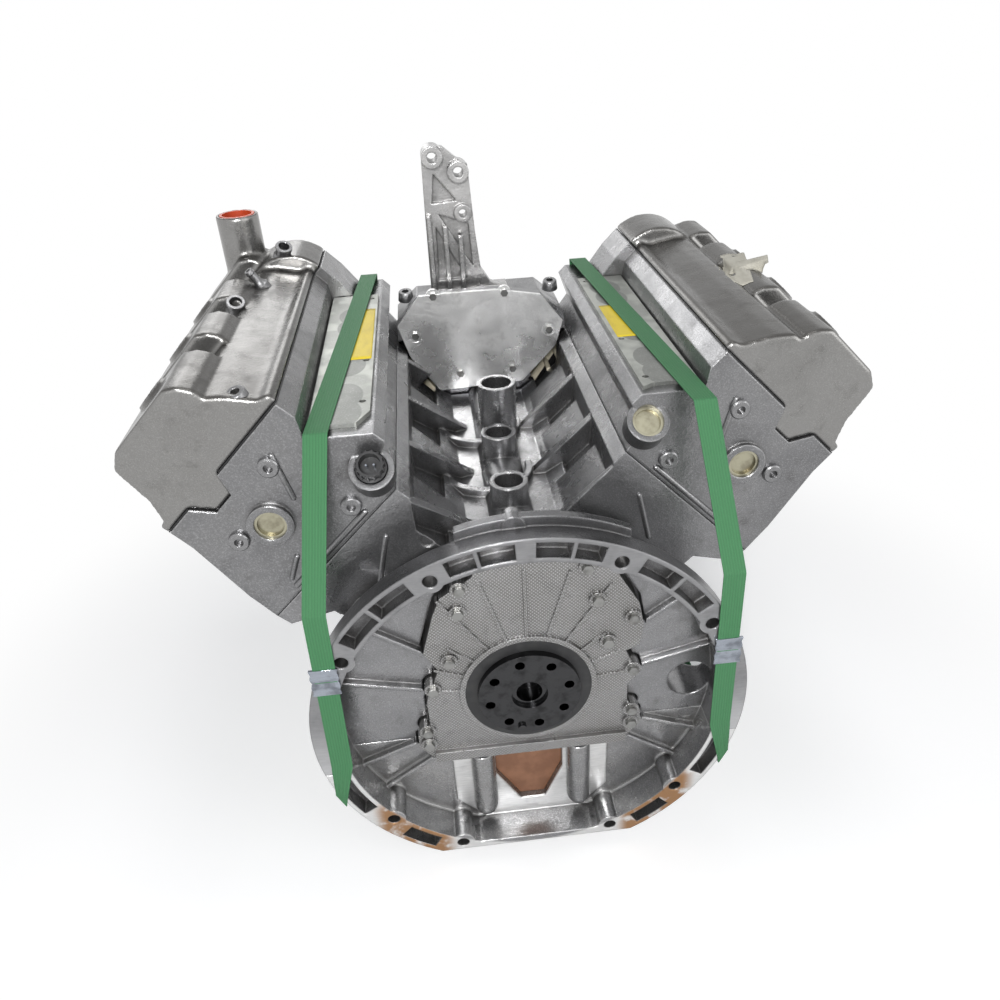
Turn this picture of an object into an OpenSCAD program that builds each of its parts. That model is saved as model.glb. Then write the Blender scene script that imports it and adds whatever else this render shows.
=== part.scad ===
// Ninety degree V-six long block. X to the right seen from the flywheel end, Y towards the front,
// Z up. The origin lies on the crankshaft axis in the face of the bell housing ring.

/* [Cylinders] */
// Cylinder bore diameter
bore_d = 92.9; // [90:0.1:94]
// Piston stroke
stroke = 86; // [80:1:87]
// Connecting rod length between centres
rod_l = 148.5; // [147:0.5:150]
// Spacing of the cylinders along one bank
bore_pitch = 106; // [104:1:110]
// Height of the deck above the crank axis, along the cylinder
deck_h = 223; // [222.5:0.5:226]
// Stagger between the two banks along the crank
bank_offset = 28; // [27:1:32]
// Middle of the first crankpin pair ahead of the bell face
pin_1_y = 126; // [124:1:130]
// Wall from the last bore to the end face of a bank
bank_end_wall = 5; // [4:0.5:8]

/* [Crank train] */
// Main journal diameter
main_d = 62; // [58:1:66]
// Length of a main bearing
main_w = 26; // [22:1:28]
// Crankpin diameter
pin_d = 50; // [46:1:54]
// Width of a connecting rod
rod_w = 22; // [18:1:23]
// Thickness of a bearing shell
shell_t = 2.2; // [1.5:0.1:3]
// Radial clearance of a running journal
run_gap = 0.03; // [0.02:0.01:0.06]
// Side clearance between crank webs and rods
side_gap = 0.3; // [0.2:0.05:0.5]
// Gap between pieces that are fitted together without play
fit_gap = 0.02; // [0.01:0.01:0.05]
// Radius of the counterweights
weight_r = 78; // [70:1:79]
// Radial clearance of a piston in its bore
piston_gap = 0.04; // [0.03:0.01:0.08]
// Wrist pin diameter
wrist_d = 22; // [20:1:24]
// Height from the wrist pin to the piston crown
crown_h = 31.2; // [30:0.1:31.3]
// Length of the piston skirt below the wrist pin
skirt_h = 20; // [16:1:21]
// Crank angle of the first right-hand pin from the vertical
rest_angle = 75; // [70:1:80]
// Angle between the two crankpins of a pair
pin_split = 30; // [30:1:30]
// Diameter of the crankshaft flange
flange_d = 99; // [90:1:102]
// Face of the crankshaft flange ahead of the bell face
flange_y = 15; // [13:1:18]
// Pitch circle of the flange bolts
flange_pcd = 78; // [74:1:80]
// Number of flange bolts
flange_bolts = 8; // [6:1:8]
// Diameter of a flange bolt hole
flange_hole_d = 9.5; // [8:0.5:11]
// Diameter of the pilot bore in the flange
pilot_d = 25; // [20:1:30]
// Depth of the pilot bore
pilot_depth = 22; // [15:1:25]

/* [Block] */
// Rear wall of the block, under the rear seal cover
rear_wall_y = 52; // [50:1:56]
// Half width of the oil pan rail
rail_w = 128; // [122:1:134]
// Height of the joint between the block and the oil pan
rail_z = -62; // [-64:1:-58]
// Free radius around the crankshaft for the swing of the rods
crank_room_r = 104; // [103.5:0.5:106]
// Height of the balance shaft above the crankshaft
balance_z = 126; // [125:0.5:128]
// Radius of the balance shaft tunnel
tunnel_r = 18.5; // [17:0.5:19]
// Height of the valley floor
valley_z = 137; // [134:1:142]
// Outer side of a cylinder bank from the bore axis
bank_out_t = 60; // [57:1:64]
// Valley side of a cylinder bank from the bore axis
bank_in_t = 56; // [54:1:60]
// Valley edge of the deck from the bore axis
deck_in_t = 78; // [74:1:80]
// Outer edge of the deck from the bore axis
deck_out_t = 96; // [90:1:100]
// Thickness of the deck flange
deck_t = 15; // [10:1:18]

/* [Bell housing] */
// Outer radius of the bell housing ring
bell_r = 207; // [205:0.5:212]
// Inner radius of the bell housing ring
bell_in_r = 183; // [180:0.5:184]
// Height of the ring's middle
ring_z = -17; // [-19:0.5:-15]
// Height of the ring's flat bottom
ring_floor = -198; // [-204:1:-197]
// Thickness of the ring's flange
flange_w = 20; // [16:1:24]
// Depth of the bell from its face to its end wall
bell_depth = 35; // [32:1:40]
// Diameter of a bell bolt hole
bell_hole_d = 13; // [11:0.5:15]
// Side distance of the upper bell bolts
bolt_top_x = 81; // [78:1:84]
// Height of the upper bell bolts
bolt_top_z = 157; // [154:1:160]
// Side distance of the side bell bolts
bolt_side_x = 166; // [163:1:169]
// Height of the side bell bolts
bolt_side_z = 78.5; // [75:0.5:82]
// Side distance of the lower bell bolts
bolt_low_x = 145; // [140:1:148]
// Height of the lower bell bolts
bolt_low_z = -137.5; // [-142:0.5:-134]
// Side distance of the bottom bell bolts
bolt_bottom_x = 78; // [74:1:80]
// Height of the bottom bell bolts
bolt_bottom_z = -187.5; // [-189:0.5:-184]
// Radius of the starter opening
starter_r = 22; // [19:1:23]
// Side distance of the starter opening
starter_x = 162; // [160:1:163]
// Height of the starter opening
starter_z = -21; // [-24:1:-18]

/* [Rear seal cover] */
// Face of the rear seal cover ahead of the bell face
cover_y = 22; // [20:1:26]
// Wall of the rear seal cover
cover_wall = 5; // [4:0.5:7]
// Outer radius of the rear crank seal
seal_r = 61; // [58:0.5:63]
// Width of a crank seal
seal_w = 12; // [8:1:12]

/* [Heads and covers] */
// Thickness of a head gasket
gasket_t = 1.2; // [0.8:0.1:2]
// Height of the camshaft axes along the cylinder, also the cam cover joint
cam_h = 345; // [344:1:348]
// Distance of a camshaft from the bore axis
cam_t = 40; // [39:0.5:41]
// Base radius of a cam
cam_base_r = 17; // [15:0.5:18]
// Lift of a cam
cam_lift = 9.5; // [8:0.5:10]
// Radius of a camshaft journal
cam_journal_r = 13; // [11:0.5:14]
// Front face of the cylinder heads
head_front_y = 484; // [482:1:490]
// Wall of a cylinder head
head_wall = 8; // [6:0.5:10]
// Distance of a valve face from the bore axis
valve_t = 20; // [19:0.5:21]
// Half the spacing of two like valves
valve_dy = 18; // [17.5:0.5:18.5]
// Radius of an intake valve head
intake_r = 17; // [16:0.5:17]
// Radius of an exhaust valve head
exhaust_r = 14.5; // [13:0.5:15]
// Radius of a valve stem
stem_r = 3; // [2.5:0.5:4]
// Radius of a bucket tappet
tappet_r = 15; // [14.5:0.25:15.5]
// Height of the intake port face above the crank axis
port_z = 268; // [266:1:270]
// Valley edge of the intake port face from the engine's middle
port_in_x = 115; // [112:1:118]
// Width of the intake port face
port_w = 56; // [52:1:58]
// Radius of an intake port
port_r = 11.5; // [10:0.5:12]
// Height of the tall parts of a cam cover above its joint
cover_top_h = 73; // [66:1:78]
// Height of the low parts of a cam cover above its joint
cover_low_h = 49; // [42:1:53]
// Wall of a cam cover
skin_t = 3.5; // [2.5:0.5:4]
// Front face of the cam covers
cam_cover_front_y = 488; // [484:1:492]

/* [Timing drive] */
// Pitch radius of a crank sprocket, half that of a cam sprocket
sprocket_r = 18.4; // [17.6:0.2:18.6]
// Width of a sprocket's teeth
sprocket_w = 5; // [4:0.5:6]
// Width of a timing chain
chain_w = 10; // [8:1:12]
// Thickness of a timing chain
chain_t = 7; // [6:0.5:8]
// Distance of the balance gears ahead of the block
gear_lead = 4; // [3:1:6]
// Width of a balance gear
gear_w = 10; // [8:1:12]
// Number of teeth on a balance gear
gear_teeth = 42; // [36:2:48]
// Wall of the timing cover
timing_wall = 6; // [5:0.5:8]
// Radius of the crank pulley
pulley_r = 78; // [70:1:84]
// Width of the crank pulley
pulley_w = 24; // [20:1:28]

/* [Oil pan] */
// Depth of the upper oil pan at its joint with the lower pan
pan_z = -150; // [-156:1:-144]
// Flat bottom of the lower oil pan
sump_z = -216; // [-225:1:-214]
// Wall of the oil pans
pan_wall = 6; // [5:0.5:8]
// Half width of the lower oil pan
sump_w = 100; // [90:1:104]

/* [Valley plate and bracket] */
// Thickness of the valley end plate
plate_t = 4; // [3:0.5:6]
// Rear face of the accessory bracket's web
bracket_y = 434; // [430:1:440]
// Thickness of the accessory bracket's web
bracket_t = 10; // [8:1:14]
// Height of the accessory bracket's top
bracket_top_z = 425; // [415:1:430]

/* [Straps] */
// Width of a shipping strap
strap_w = 20; // [16:1:24]
// Thickness of a shipping strap
strap_t = 0.9; // [0.6:0.1:1.2]

/* [Hidden] */
$fn = 64;
LEFT = -1;
RIGHT = 1;
INTAKE = 1;
EXHAUST = -1;
SIDES = [LEFT, RIGHT];
half_vee = 45;
root_half = sqrt(0.5);
throw_r = stroke / 2;
pin_r = pin_d / 2;
main_r = main_d / 2;
housing_r = main_r + shell_t;
bore_r = bore_d / 2;
crank_order = [0, 240, 120];
bell_side_x = 112;
crest_r = 199.5;
bell_rib_h = 7;

// Places along the engine
function pin_y(i) = pin_1_y + i * bore_pitch;
function main_y(j) = pin_1_y - bore_pitch / 2 + j * bore_pitch;
function cyl_y(i, side) = pin_y(i) + side * bank_offset / 2;
block_front_y = main_y(3) + main_w / 2 + 6;
plate_y = block_front_y - 11 - plate_t;
function bank_rear_y(side) = cyl_y(0, side) - bore_r - bank_end_wall;

// Crank train at rest
function pin_angle(i, side) = rest_angle + crank_order[i] + (side == LEFT ? pin_split : 0);
function phase(i, side) = pin_angle(i, side) - side * half_vee;
function pin_t(i, side) = -side * throw_r * sin(phase(i, side));
function pin_h(i, side) = throw_r * cos(phase(i, side));
function wrist_h(i, side) = pin_h(i, side) + sqrt(rod_l * rod_l - pow(pin_t(i, side), 2));
function rod_tilt(i, side) = -asin(pin_t(i, side) / rod_l);
bore_bottom_h = rod_l - throw_r - skirt_h - 1.5;

// Valve train
chamber_h = deck_h + gasket_t;
valve_angle = atan((cam_t - valve_t) / (cam_h - chamber_h - 7));
roof_rise = (bore_r - valve_t) * tan(valve_angle);
valve_h = chamber_h + roof_rise;
cam_dist = (cam_h - valve_h) / cos(valve_angle);
tappet_top = cam_dist - cam_base_r - cam_lift - 1;
tappet_l = 26;
spring_seat = tappet_top - tappet_l - cam_lift - 5;

// Wide front part of a head and its cover, around the cam sprockets
front_t = cam_t + 2 * sprocket_r + chain_t / 2 + head_wall + 3;

// Half width of the room around the cams
trough_t = cam_t + cam_base_r + cam_lift + 2.5;

// Core plug and service boss on the rear face of a head
core_t = -15;
core_h = 285;
core_r = 14;
service_x = 120;
service_z = 246;
service_drop = 6;
service_r = 14;

// Port face of a head in the bank's own directions
port_out_x = port_in_x + port_w;
function bank_t(x, z) = (z - x) * root_half;
function bank_h(x, z) = (z + x) * root_half;

// Timing drive
gear_y = block_front_y + gear_lead;
chain_y = [gear_y + gear_w + 9, gear_y + gear_w + 9 + chain_w + 4];
function chain_row(side) = side == LEFT ? chain_y[0] : chain_y[1];
front_y = chain_y[0] - chain_w / 2 - 6 - head_wall;
timing_front_y = head_front_y;
nose_r = 14;
crank_teeth = 15;
gear_pitch_r = balance_z / 2;

// Places the children in the bank's own directions: X towards the valley, Z along the cylinders
module bank(side) {
    mirror([side == RIGHT ? 1 : 0, 0, 0]) rotate([0, -half_vee, 0]) children();
}

// Extrudes an outline drawn in X and Z from one place along the engine to another
module along(y0, y1) {
    translate([0, y1, 0]) rotate([90, 0, 0]) linear_extrude(y1 - y0) children();
}

// Round bar along the engine
module bar(r, y0, y1) {
    along(y0, y1) circle(r);
}

// Round bar along the engine at a place across it
module bar_at(x, z, r, y0, y1) {
    translate([x, 0, z]) bar(r, y0, y1);
}

// Tilts the children into the line of a valve, with Z along its stem
module valve_line(kind) {
    translate([kind * valve_t, 0, valve_h]) rotate([0, kind * valve_angle, 0]) children();
}

// Repeats the children at the two valves of one kind in every cylinder of a bank
module at_valves(side, kind) {
    for (i = [0:2], dy = [-valve_dy, valve_dy])
        translate([0, cyl_y(i, side) + dy, 0]) valve_line(kind) children();
}

/* ENGINE BLOCK */
module crankcase_outline() {
    polygon([[-rail_w, rail_z], [rail_w, rail_z], [rail_w, 42], [72, valley_z - 12], [62, valley_z + 12],
        [44, valley_z], [-44, valley_z], [-62, valley_z + 12], [-72, valley_z - 12], [-rail_w, 42]]);
}

module bank_outline() {
    polygon([[-deck_out_t, deck_h], [-deck_out_t, deck_h - deck_t], [-bank_out_t, deck_h - deck_t - 22],
        [-bank_out_t, 62], [bank_in_t, 62], [bank_in_t, deck_h - 40], [deck_in_t, deck_h - deck_t],
        [deck_in_t, deck_h]]);
}

module valley_ribs(side) {
    for (j = [0:3]) {
        y = main_y(j) + side * bank_offset / 2;
        slant = side == LEFT ? 48 : 8;
        translate([bank_in_t - 4, 0, 0]) rotate([90, 0, 90]) linear_extrude(deck_in_t - bank_in_t + 2)
            polygon([[y - 5, deck_h - 4], [y + 5, deck_h - 4], [y + slant + 5, 112], [y + slant - 5, 112]]);
    }
    for (i = [0:2])
        translate([bank_in_t - 4, cyl_y(i, side) - 26, 128]) cube([12, 52, deck_h - deck_t - 128]);
}

// Bowed rib across the valley floor
module valley_bow(y) {
    translate([-16, y, valley_z - 3]) difference() {
        cylinder(r = 48, h = 11);
        translate([0, 0, -1]) cylinder(r = 41, h = 20);
        translate([-60, 6, -1]) cube([120, 60, 20]);
    }
}

// Hollow bosses on the valley floor: place across and along the engine, top and radius
valley_bosses = [[0, main_y(0) + 58, 170, 18.5], [0, main_y(1) + 51, 172, 18.5], [5, main_y(2) + 5, 202, 21]];

// Bell housing ring, its tapering wall and its end wall; the middle lies below the crankshaft
module bell() {
    difference() {
        intersection() {
            union() {
                bar_at(0, ring_z, bell_r, 0, flange_w, $fn = 160);
                translate([0, flange_w - 1, ring_z]) rotate([-90, 0, 0])
                    cylinder(r1 = bell_in_r + 8, r2 = bell_in_r - 3, h = rear_wall_y - flange_w + 2, $fn = 160);
                for (a = [-128, -100, -62, -38, 38, 62, 100, 128]) bell_gusset(a);
            }
            translate([-bell_r - 5, -1, ring_floor]) cube([2 * bell_r + 10, rear_wall_y + 2, 2 * bell_r + 10]);
        }
        along(-1, bell_depth) difference() {
            translate([0, ring_z]) circle(bell_in_r, $fn = 160);
            for (p = bolt_places) translate(p) circle(bell_hole_d / 2 + 5.5);
            translate([-bell_r, ring_floor - 20]) square([2 * bell_r, 28]);
        }
    }
    for (a = [54, 76, 112, 125], side = SIDES)
        translate([0, 0, ring_z]) rotate([0, side * a, 0]) translate([-2, bell_depth - bell_rib_h, 100])
            cube([4, bell_rib_h + 1, bell_in_r - 98]);
}

// Thin web between the ring's flange and its wall
module bell_gusset(angle) {
    translate([0, 0, ring_z]) rotate([0, angle, 0]) translate([-2.5, 0, 0]) rotate([90, 0, 90])
        linear_extrude(5) polygon([[flange_w - 1, bell_in_r], [flange_w - 1, bell_r - 5],
            [rear_wall_y, bell_in_r - 3], [rear_wall_y, bell_in_r - 12]]);
}

// Raised crest behind the top of the ring, with its round boss
module bell_crest() {
    intersection() {
        bar(crest_r, flange_w - 1, flange_w + 8, $fn = 128);
        translate([-58, 0, bell_in_r - 20]) cube([151, rear_wall_y, 60]);
    }
    bar_at(-7.5, crest_r - 8.5, 10, flange_w - 2, flange_w + 14);
}

// Bulge of the crankcase side behind the ring
module bell_side(side) {
    intersection() {
        translate([0, bell_depth, ring_z]) rotate([-90, 0, 0])
            cylinder(r1 = bell_r - 6, r2 = rail_w, h = 105, $fn = 128);
        mirror([side == LEFT ? 1 : 0, 0, 0]) translate([bell_side_x, bell_depth, ring_floor])
            cube([bell_r - bell_side_x, 105, 120 - ring_floor]);
    }
}

module ring_pocket(a0, a1, in_r, out_r, depth) {
    translate([0, 0, ring_z]) intersection() {
        along(-1, depth) difference() {
            circle(out_r, $fn = 128);
            circle(in_r, $fn = 128);
        }
        along(-2, depth + 1) polygon([[0, 0], [300 * sin(a0), 300 * cos(a0)],
            [300 * sin(a1), 300 * cos(a1)]]);
    }
}

bolt_places = [for (side = SIDES, p = [[bolt_top_x, bolt_top_z], [bolt_side_x, bolt_side_z],
    [bolt_low_x, bolt_low_z], [bolt_bottom_x, bolt_bottom_z]]) [side * p[0], p[1]]];
module bell_bolts(y0, y1, r) {
    for (p = bolt_places) bar_at(p[0], p[1], r, y0, y1);
}

module above_rail(up) {
    intersection() {
        children();
        translate([-300, -10, up ? rail_z : rail_z - 400]) cube([600, 600, up ? 700 : 400]);
    }
}

module crank_bays() {
    for (i = [0:2])
        bar(crank_room_r, main_y(i) + main_w / 2, main_y(i + 1) - main_w / 2, $fn = 96);
    translate([-crank_room_r, rear_wall_y + 8, rail_z - 1])
        cube([2 * crank_room_r, block_front_y - rear_wall_y - 14, 1 - rail_z]);
}

module starter_opening(y0, y1) {
    bar_at(starter_x, starter_z, starter_r, y0, y1);
}

module engine_block() color("silver") difference() {
    union() {
        along(rear_wall_y, block_front_y) crankcase_outline();
        for (side = SIDES) bank(side) {
            along(bank_rear_y(side), block_front_y) bank_outline();
            intersection() {
                valley_ribs(side);
                translate([0, bank_rear_y(side), 0]) cube([200, plate_y - 1 - bank_rear_y(side), 300]);
            }
        }
        bar_at(0, balance_z, tunnel_r + 6, rear_wall_y, block_front_y);
        along(plate_y + plate_t, block_front_y) plate_outline(2);
        for (y = [main_y(0) + 24, main_y(1) + 26, main_y(2) + 26]) valley_bow(y);
        for (b = valley_bosses) translate([b[0], b[1], valley_z - 8]) cylinder(r = b[3], h = b[2] - valley_z + 8);
        above_rail(true) {
            union() {
                bell();
                for (side = SIDES) bell_side(side);
            }
        }
        bell_crest();
    }
    for (side = SIDES) bank(side) for (i = [0:2])
        translate([0, cyl_y(i, side), bore_bottom_h]) cylinder(r = bore_r, h = deck_h, $fn = 96);
    crank_bays();
    bar(housing_r, rear_wall_y + 8, block_front_y + 1);
    bar(flange_d / 2 + 2, bell_depth - 1, rear_wall_y + 8);
    bar_at(0, balance_z, tunnel_r, rear_wall_y + 8, block_front_y + 1);
    along(bell_depth - bell_rib_h - 1, rear_wall_y) {
        seal_cover_outline(0);
        seal_cover_outline(3);
        for (p = cover_screw_places) translate(p) circle(10);
    }
    for (p = cover_screw_places) bar_at(p[0], p[1], 3, rear_wall_y - 1, rear_wall_y + 9);
    above_rail(true) bell_bolts(-1, rear_wall_y + 10, bell_hole_d / 2);
    starter_opening(-1, 200);
    for (a = [[2.5, 11.5], [12.5, 20], [30.5, 42], [43, 54.5]], side = SIDES)
        ring_pocket(side * a[0], side * a[1], bell_in_r + 4, bell_r - 4, flange_w - 4);
    for (b = valley_bosses) translate([b[0], b[1], valley_z + 8]) cylinder(r = b[3] - 4.5, h = 80);
}

module main_bearing_caps() color("dimgray") for (j = [0:3]) {
    y0 = main_y(j) - main_w / 2 + 0.5;
    y1 = main_y(j) + main_w / 2 - 0.5;
    difference() {
        along(y0, y1) difference() {
            polygon([[-70, 0], [-70, -44], [-38, -44], [-34, rail_z + 8], [34, rail_z + 8], [38, -44],
                [70, -44], [70, 0]]);
            circle(housing_r);
        }
        for (side = SIDES) translate([side * 52, main_y(j), -80]) cylinder(r = 6, h = 81);
    }
    for (side = SIDES) translate([side * 52, main_y(j), -44]) {
        cylinder(r = 6 - fit_gap, h = 44);
        translate([0, 0, -8 - fit_gap]) cylinder(r = 9.5, h = 8, $fn = 6);
    }
}

module main_bearing_shells() color("lightgray") for (j = [0:3], up = [0, 1]) intersection() {
    along(main_y(j) - main_w / 2 + 2, main_y(j) + main_w / 2 - 2) difference() {
        circle(housing_r - fit_gap);
        circle(main_r + run_gap);
    }
    translate([-50, main_y(j) - main_w, up ? fit_gap : -50]) cube([100, 2 * main_w, 50]);
}

/* CRANK TRAIN */
module web(angle) {
    rotate(-angle) {
        circle(main_r + 8);
        translate([0, throw_r]) circle(pin_r + 9);
        translate([-main_r, 0]) square([2 * main_r, throw_r]);
        intersection() {
            circle(weight_r);
            polygon([[0, 12], [-130, -52], [-130, -130], [130, -130], [130, -52]]);
        }
    }
}

module flying_web(i) {
    for (side = SIDES) rotate(-pin_angle(i, side)) translate([0, throw_r]) circle(pin_r + 6);
}

module sprocket(r, teeth, y, hub_r) {
    along(y - sprocket_w / 2, y + sprocket_w / 2) union() {
        circle(r - 1.5);
        for (k = [0:teeth - 1]) rotate(k * 360 / teeth)
            polygon([[-2.6, r - 3], [-1, r + 2], [1, r + 2], [2.6, r - 3]]);
    }
    bar(hub_r, y - chain_w / 2 - 1, y + chain_w / 2 + 1);
}

module gear(y0, turn) {
    along(y0, y0 + gear_w) rotate(turn) union() {
        circle(gear_pitch_r - 3);
        for (k = [0:gear_teeth - 1]) rotate(k * 360 / gear_teeth)
            polygon([[-3, gear_pitch_r - 4], [-1.05, gear_pitch_r + 2.4], [1.05, gear_pitch_r + 2.4],
                [3, gear_pitch_r - 4]]);
    }
}

module crankshaft() color("dimgray") difference() {
    union() {
        bar(flange_d / 2, flange_y, rear_wall_y - 2, $fn = 96);
        bar(main_r + 6, rear_wall_y - 3, main_y(0) - main_w / 2 - side_gap);
        for (j = [0:3])
            bar(main_r, main_y(j) - main_w / 2 - side_gap - 1, main_y(j) + main_w / 2 + side_gap + 1);
        for (i = [0:2]) {
            along(main_y(i) + main_w / 2 + side_gap, cyl_y(i, LEFT) - rod_w / 2 - side_gap)
                web(pin_angle(i, LEFT));
            along(cyl_y(i, RIGHT) + rod_w / 2 + side_gap, main_y(i + 1) - main_w / 2 - side_gap)
                web(pin_angle(i, RIGHT));
            along(cyl_y(i, LEFT) + rod_w / 2 + side_gap, cyl_y(i, RIGHT) - rod_w / 2 - side_gap)
                flying_web(i);
        }
        bar(nose_r, main_y(3) + main_w / 2, timing_front_y + pulley_w + 8);
        bar_at(-8.7, -41, 4, flange_y - 3, flange_y + 2);
        gear(gear_y, 0);
        sprocket(sprocket_r, crank_teeth, chain_y[0], nose_r);
        sprocket(sprocket_r, crank_teeth, chain_y[1], nose_r);
    }
    for (k = [0:flange_bolts - 1]) rotate([0, (k - 0.27) * 360 / flange_bolts, 0])
        translate([0, 0, flange_pcd / 2]) bar(flange_hole_d / 2, flange_y - 1, flange_y + 20);
    bar(pilot_d / 2, flange_y - 1, flange_y + pilot_depth);
    bar(pilot_d / 2 + 5, flange_y - 1, flange_y + 4);
}

module crank_pulley() color("dimgray") difference() {
    union() {
        bar(pulley_r, timing_front_y + 4, timing_front_y + 4 + pulley_w, $fn = 96);
        bar(30, timing_front_y - timing_wall - 6, timing_front_y + 6);
    }
    bar(nose_r, timing_front_y - 20, timing_front_y + 60);
    for (k = [0:5]) translate([0, timing_front_y + 8 + k * 3.2, 0]) rotate([90, 0, 0])
        rotate_extrude($fn = 96) translate([pulley_r, 0]) polygon([[-2.4, 0], [1, -1.4], [1, 1.4]]);
    along(timing_front_y + 16, timing_front_y + 40) difference() {
        circle(pulley_r - 14);
        circle(34);
    }
}

module balance_shaft() color("gray") {
    difference() {
        bar_at(0, balance_z, tunnel_r - 0.05, rear_wall_y + 10, block_front_y + 1);
        for (k = [0, 1]) translate([-20, main_y(k ? 2 : 0) + 14, balance_z - (k ? 22 : -4)])
            cube([40, bore_pitch - 28, 18]);
    }
    bar_at(0, balance_z, 9, block_front_y, gear_y + gear_w);
    translate([0, 0, balance_z]) gear(gear_y, 180 / gear_teeth);
}

module piston(i, side) color("lightgray") bank(side) translate([0, cyl_y(i, side), wrist_h(i, side)]) {
    difference() {
        translate([0, 0, -skirt_h])
            cylinder(r = bore_r - piston_gap, h = skirt_h + crown_h, $fn = 96);
        difference() {
            translate([0, 0, -skirt_h - 1]) cylinder(r = bore_r - 7, h = skirt_h + 20);
            for (dy = [-1, 1]) translate([-15, dy > 0 ? rod_w / 2 + 1 : -60, -14])
                cube([30, 60 - rod_w / 2 - 1, 60]);
        }
        bar(wrist_d / 2 + fit_gap, -60, 60);
        for (dy = [-1, 1]) translate([-60, dy > 0 ? 31 : -91, -skirt_h - 1]) cube([120, 60, skirt_h + 12]);
        for (k = [0:2]) translate([0, 0, crown_h - 8 - k * 6]) ring(bore_r - 4, bore_r + 1, 2 + fit_gap);
    }
    bar(wrist_d / 2, -30, 30);
    for (k = [0:2]) translate([0, 0, crown_h - 8 - k * 6 + fit_gap]) ring(bore_r - 4 + fit_gap, bore_r - 0.02, 2 - fit_gap);
}

module ring(in_r, out_r, h) {
    difference() {
        cylinder(r = out_r, h = h, $fn = 96);
        translate([0, 0, -1]) cylinder(r = in_r, h = h + 2, $fn = 96);
    }
}

module rod(i, side) color("gray") bank(side) translate([0, cyl_y(i, side), wrist_h(i, side)])
    rotate([0, rod_tilt(i, side), 0]) {
        big_r = pin_r + shell_t + 6;
        difference() {
            along(-rod_w / 2, rod_w / 2) {
                circle(wrist_d / 2 + 5.5);
                polygon([[-9, -8], [9, -8], [13, -rod_l + big_r - 6], [-13, -rod_l + big_r - 6]]);
                translate([0, -rod_l]) rod_eye(big_r, true);
            }
            bar(wrist_d / 2 + run_gap, -rod_w, rod_w);
            translate([0, 0, -rod_l]) bar(pin_r + shell_t, -rod_w, rod_w);
            for (dy = [-1, 1]) along(dy > 0 ? 4 : -rod_w, dy > 0 ? rod_w : -4)
                polygon([[-5, -22], [5, -22], [8, -rod_l + big_r + 5], [-8, -rod_l + big_r + 5]]);
        }
        translate([0, 0, -rod_l]) {
            along(-rod_w / 2, rod_w / 2) difference() {
                translate([0, -fit_gap]) rod_eye(big_r, false);
                circle(pin_r + shell_t);
            }
            along(-rod_w / 2 + 0.5, rod_w / 2 - 0.5) difference() {
                circle(pin_r + shell_t - fit_gap);
                circle(pin_r + run_gap);
            }
            bar(pin_r, -rod_w / 2, rod_w / 2);
            for (dx = [-1, 1]) translate([dx * 31.6, 0, -12]) cylinder(r = 4, h = 4, $fn = 6);
        }
    }

module rod_eye(r, upper) {
    intersection() {
        union() {
            circle(r);
            translate([-36.5, -8]) square([73, 16]);
        }
        translate([-60, upper ? 0 : -60]) square([120, 60]);
    }
}

/* CYLINDER HEADS */
module head_outline() {
    polygon([[-deck_out_t, chamber_h], [deck_in_t, chamber_h], [deck_in_t + 3, 246],
        [bank_t(port_in_x, port_z), bank_h(port_in_x, port_z) - 12],
        [bank_t(port_in_x, port_z), bank_h(port_in_x, port_z)],
        [bank_t(port_out_x, port_z), bank_h(port_out_x, port_z)], [80, 327], [80, cam_h], [-75, cam_h],
        [-77, 322], [-92, 256]]);
}

module head_front_outline() {
    polygon([[-deck_out_t, chamber_h], [deck_in_t, chamber_h], [deck_in_t + 3, 246], [front_t, cam_h - 24],
        [front_t, cam_h],
        [-front_t, cam_h], [-front_t, cam_h - 50]]);
}

module cylinder_head(side) difference() {
    union() {
        head_casting(side);
        service_place(side) translate([0, 0, -24]) cylinder(r = service_r + 5, h = 24);
    }
    service_place(side) translate([0, 0, -12]) cylinder(r = service_r, h = 20);
}

// Mouth of the service bore on the valley side of a head's rear face
module service_place(side) {
    translate([side * service_x, bank_rear_y(side) - 8, service_z - (side == LEFT ? service_drop : 0)])
        rotate([45, 0, 0]) children();
}

module head_casting(side) bank(side) difference() {
    union() {
        for (y = lug_places(side)) translate([-79, y, cam_h - 30]) cylinder(r = 9, h = 30);
        along(bank_rear_y(side), head_front_y) head_outline();
        along(front_y, head_front_y) head_front_outline();
        translate([core_t, bank_rear_y(side) - 5, core_h]) rotate([-90, 0, 0]) cylinder(r = core_r + 6, h = 12);
    }
    translate([core_t, bank_rear_y(side) - 6, core_h]) rotate([-90, 0, 0]) cylinder(r = core_r, h = 14);
    translate([0, 0, cam_h]) along(bank_rear_y(side) - 1, bank_rear_y(side) + 3 + skin_t) half_moon(0);
    for (i = [0:2]) {
        translate([0, cyl_y(i, side), 0]) chamber();
        translate([0, cyl_y(i, side), chamber_h + 5]) cylinder(r = 7, h = 200);
        translate([0, cyl_y(i, side), chamber_h + 30]) cylinder(r = 11, h = 200);
    }
    for (kind = [INTAKE, EXHAUST]) {
        at_valves(side, kind) {
            r = kind == INTAKE ? intake_r : exhaust_r;
            translate([0, 0, -20]) cylinder(r = r + 0.3, h = 22.6);
            cylinder(r = r - 2.5, h = 16);
            cylinder(r = stem_r + run_gap, h = 100);
            translate([0, 0, spring_seat]) cylinder(r = tappet_r + 0.05, h = tappet_top + 1 - spring_seat);
        }
        along(bank_rear_y(side) + head_wall, head_front_y - 1)
            translate([kind * cam_t, cam_h]) circle(cam_journal_r + run_gap);
    }
    cam_trough(side);
    for (i = [0:2], dy = [-valve_dy, valve_dy]) translate([0, cyl_y(i, side) + dy, 0]) {
        intake_port();
        exhaust_port();
    }
    chain_well(side);
}

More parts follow.
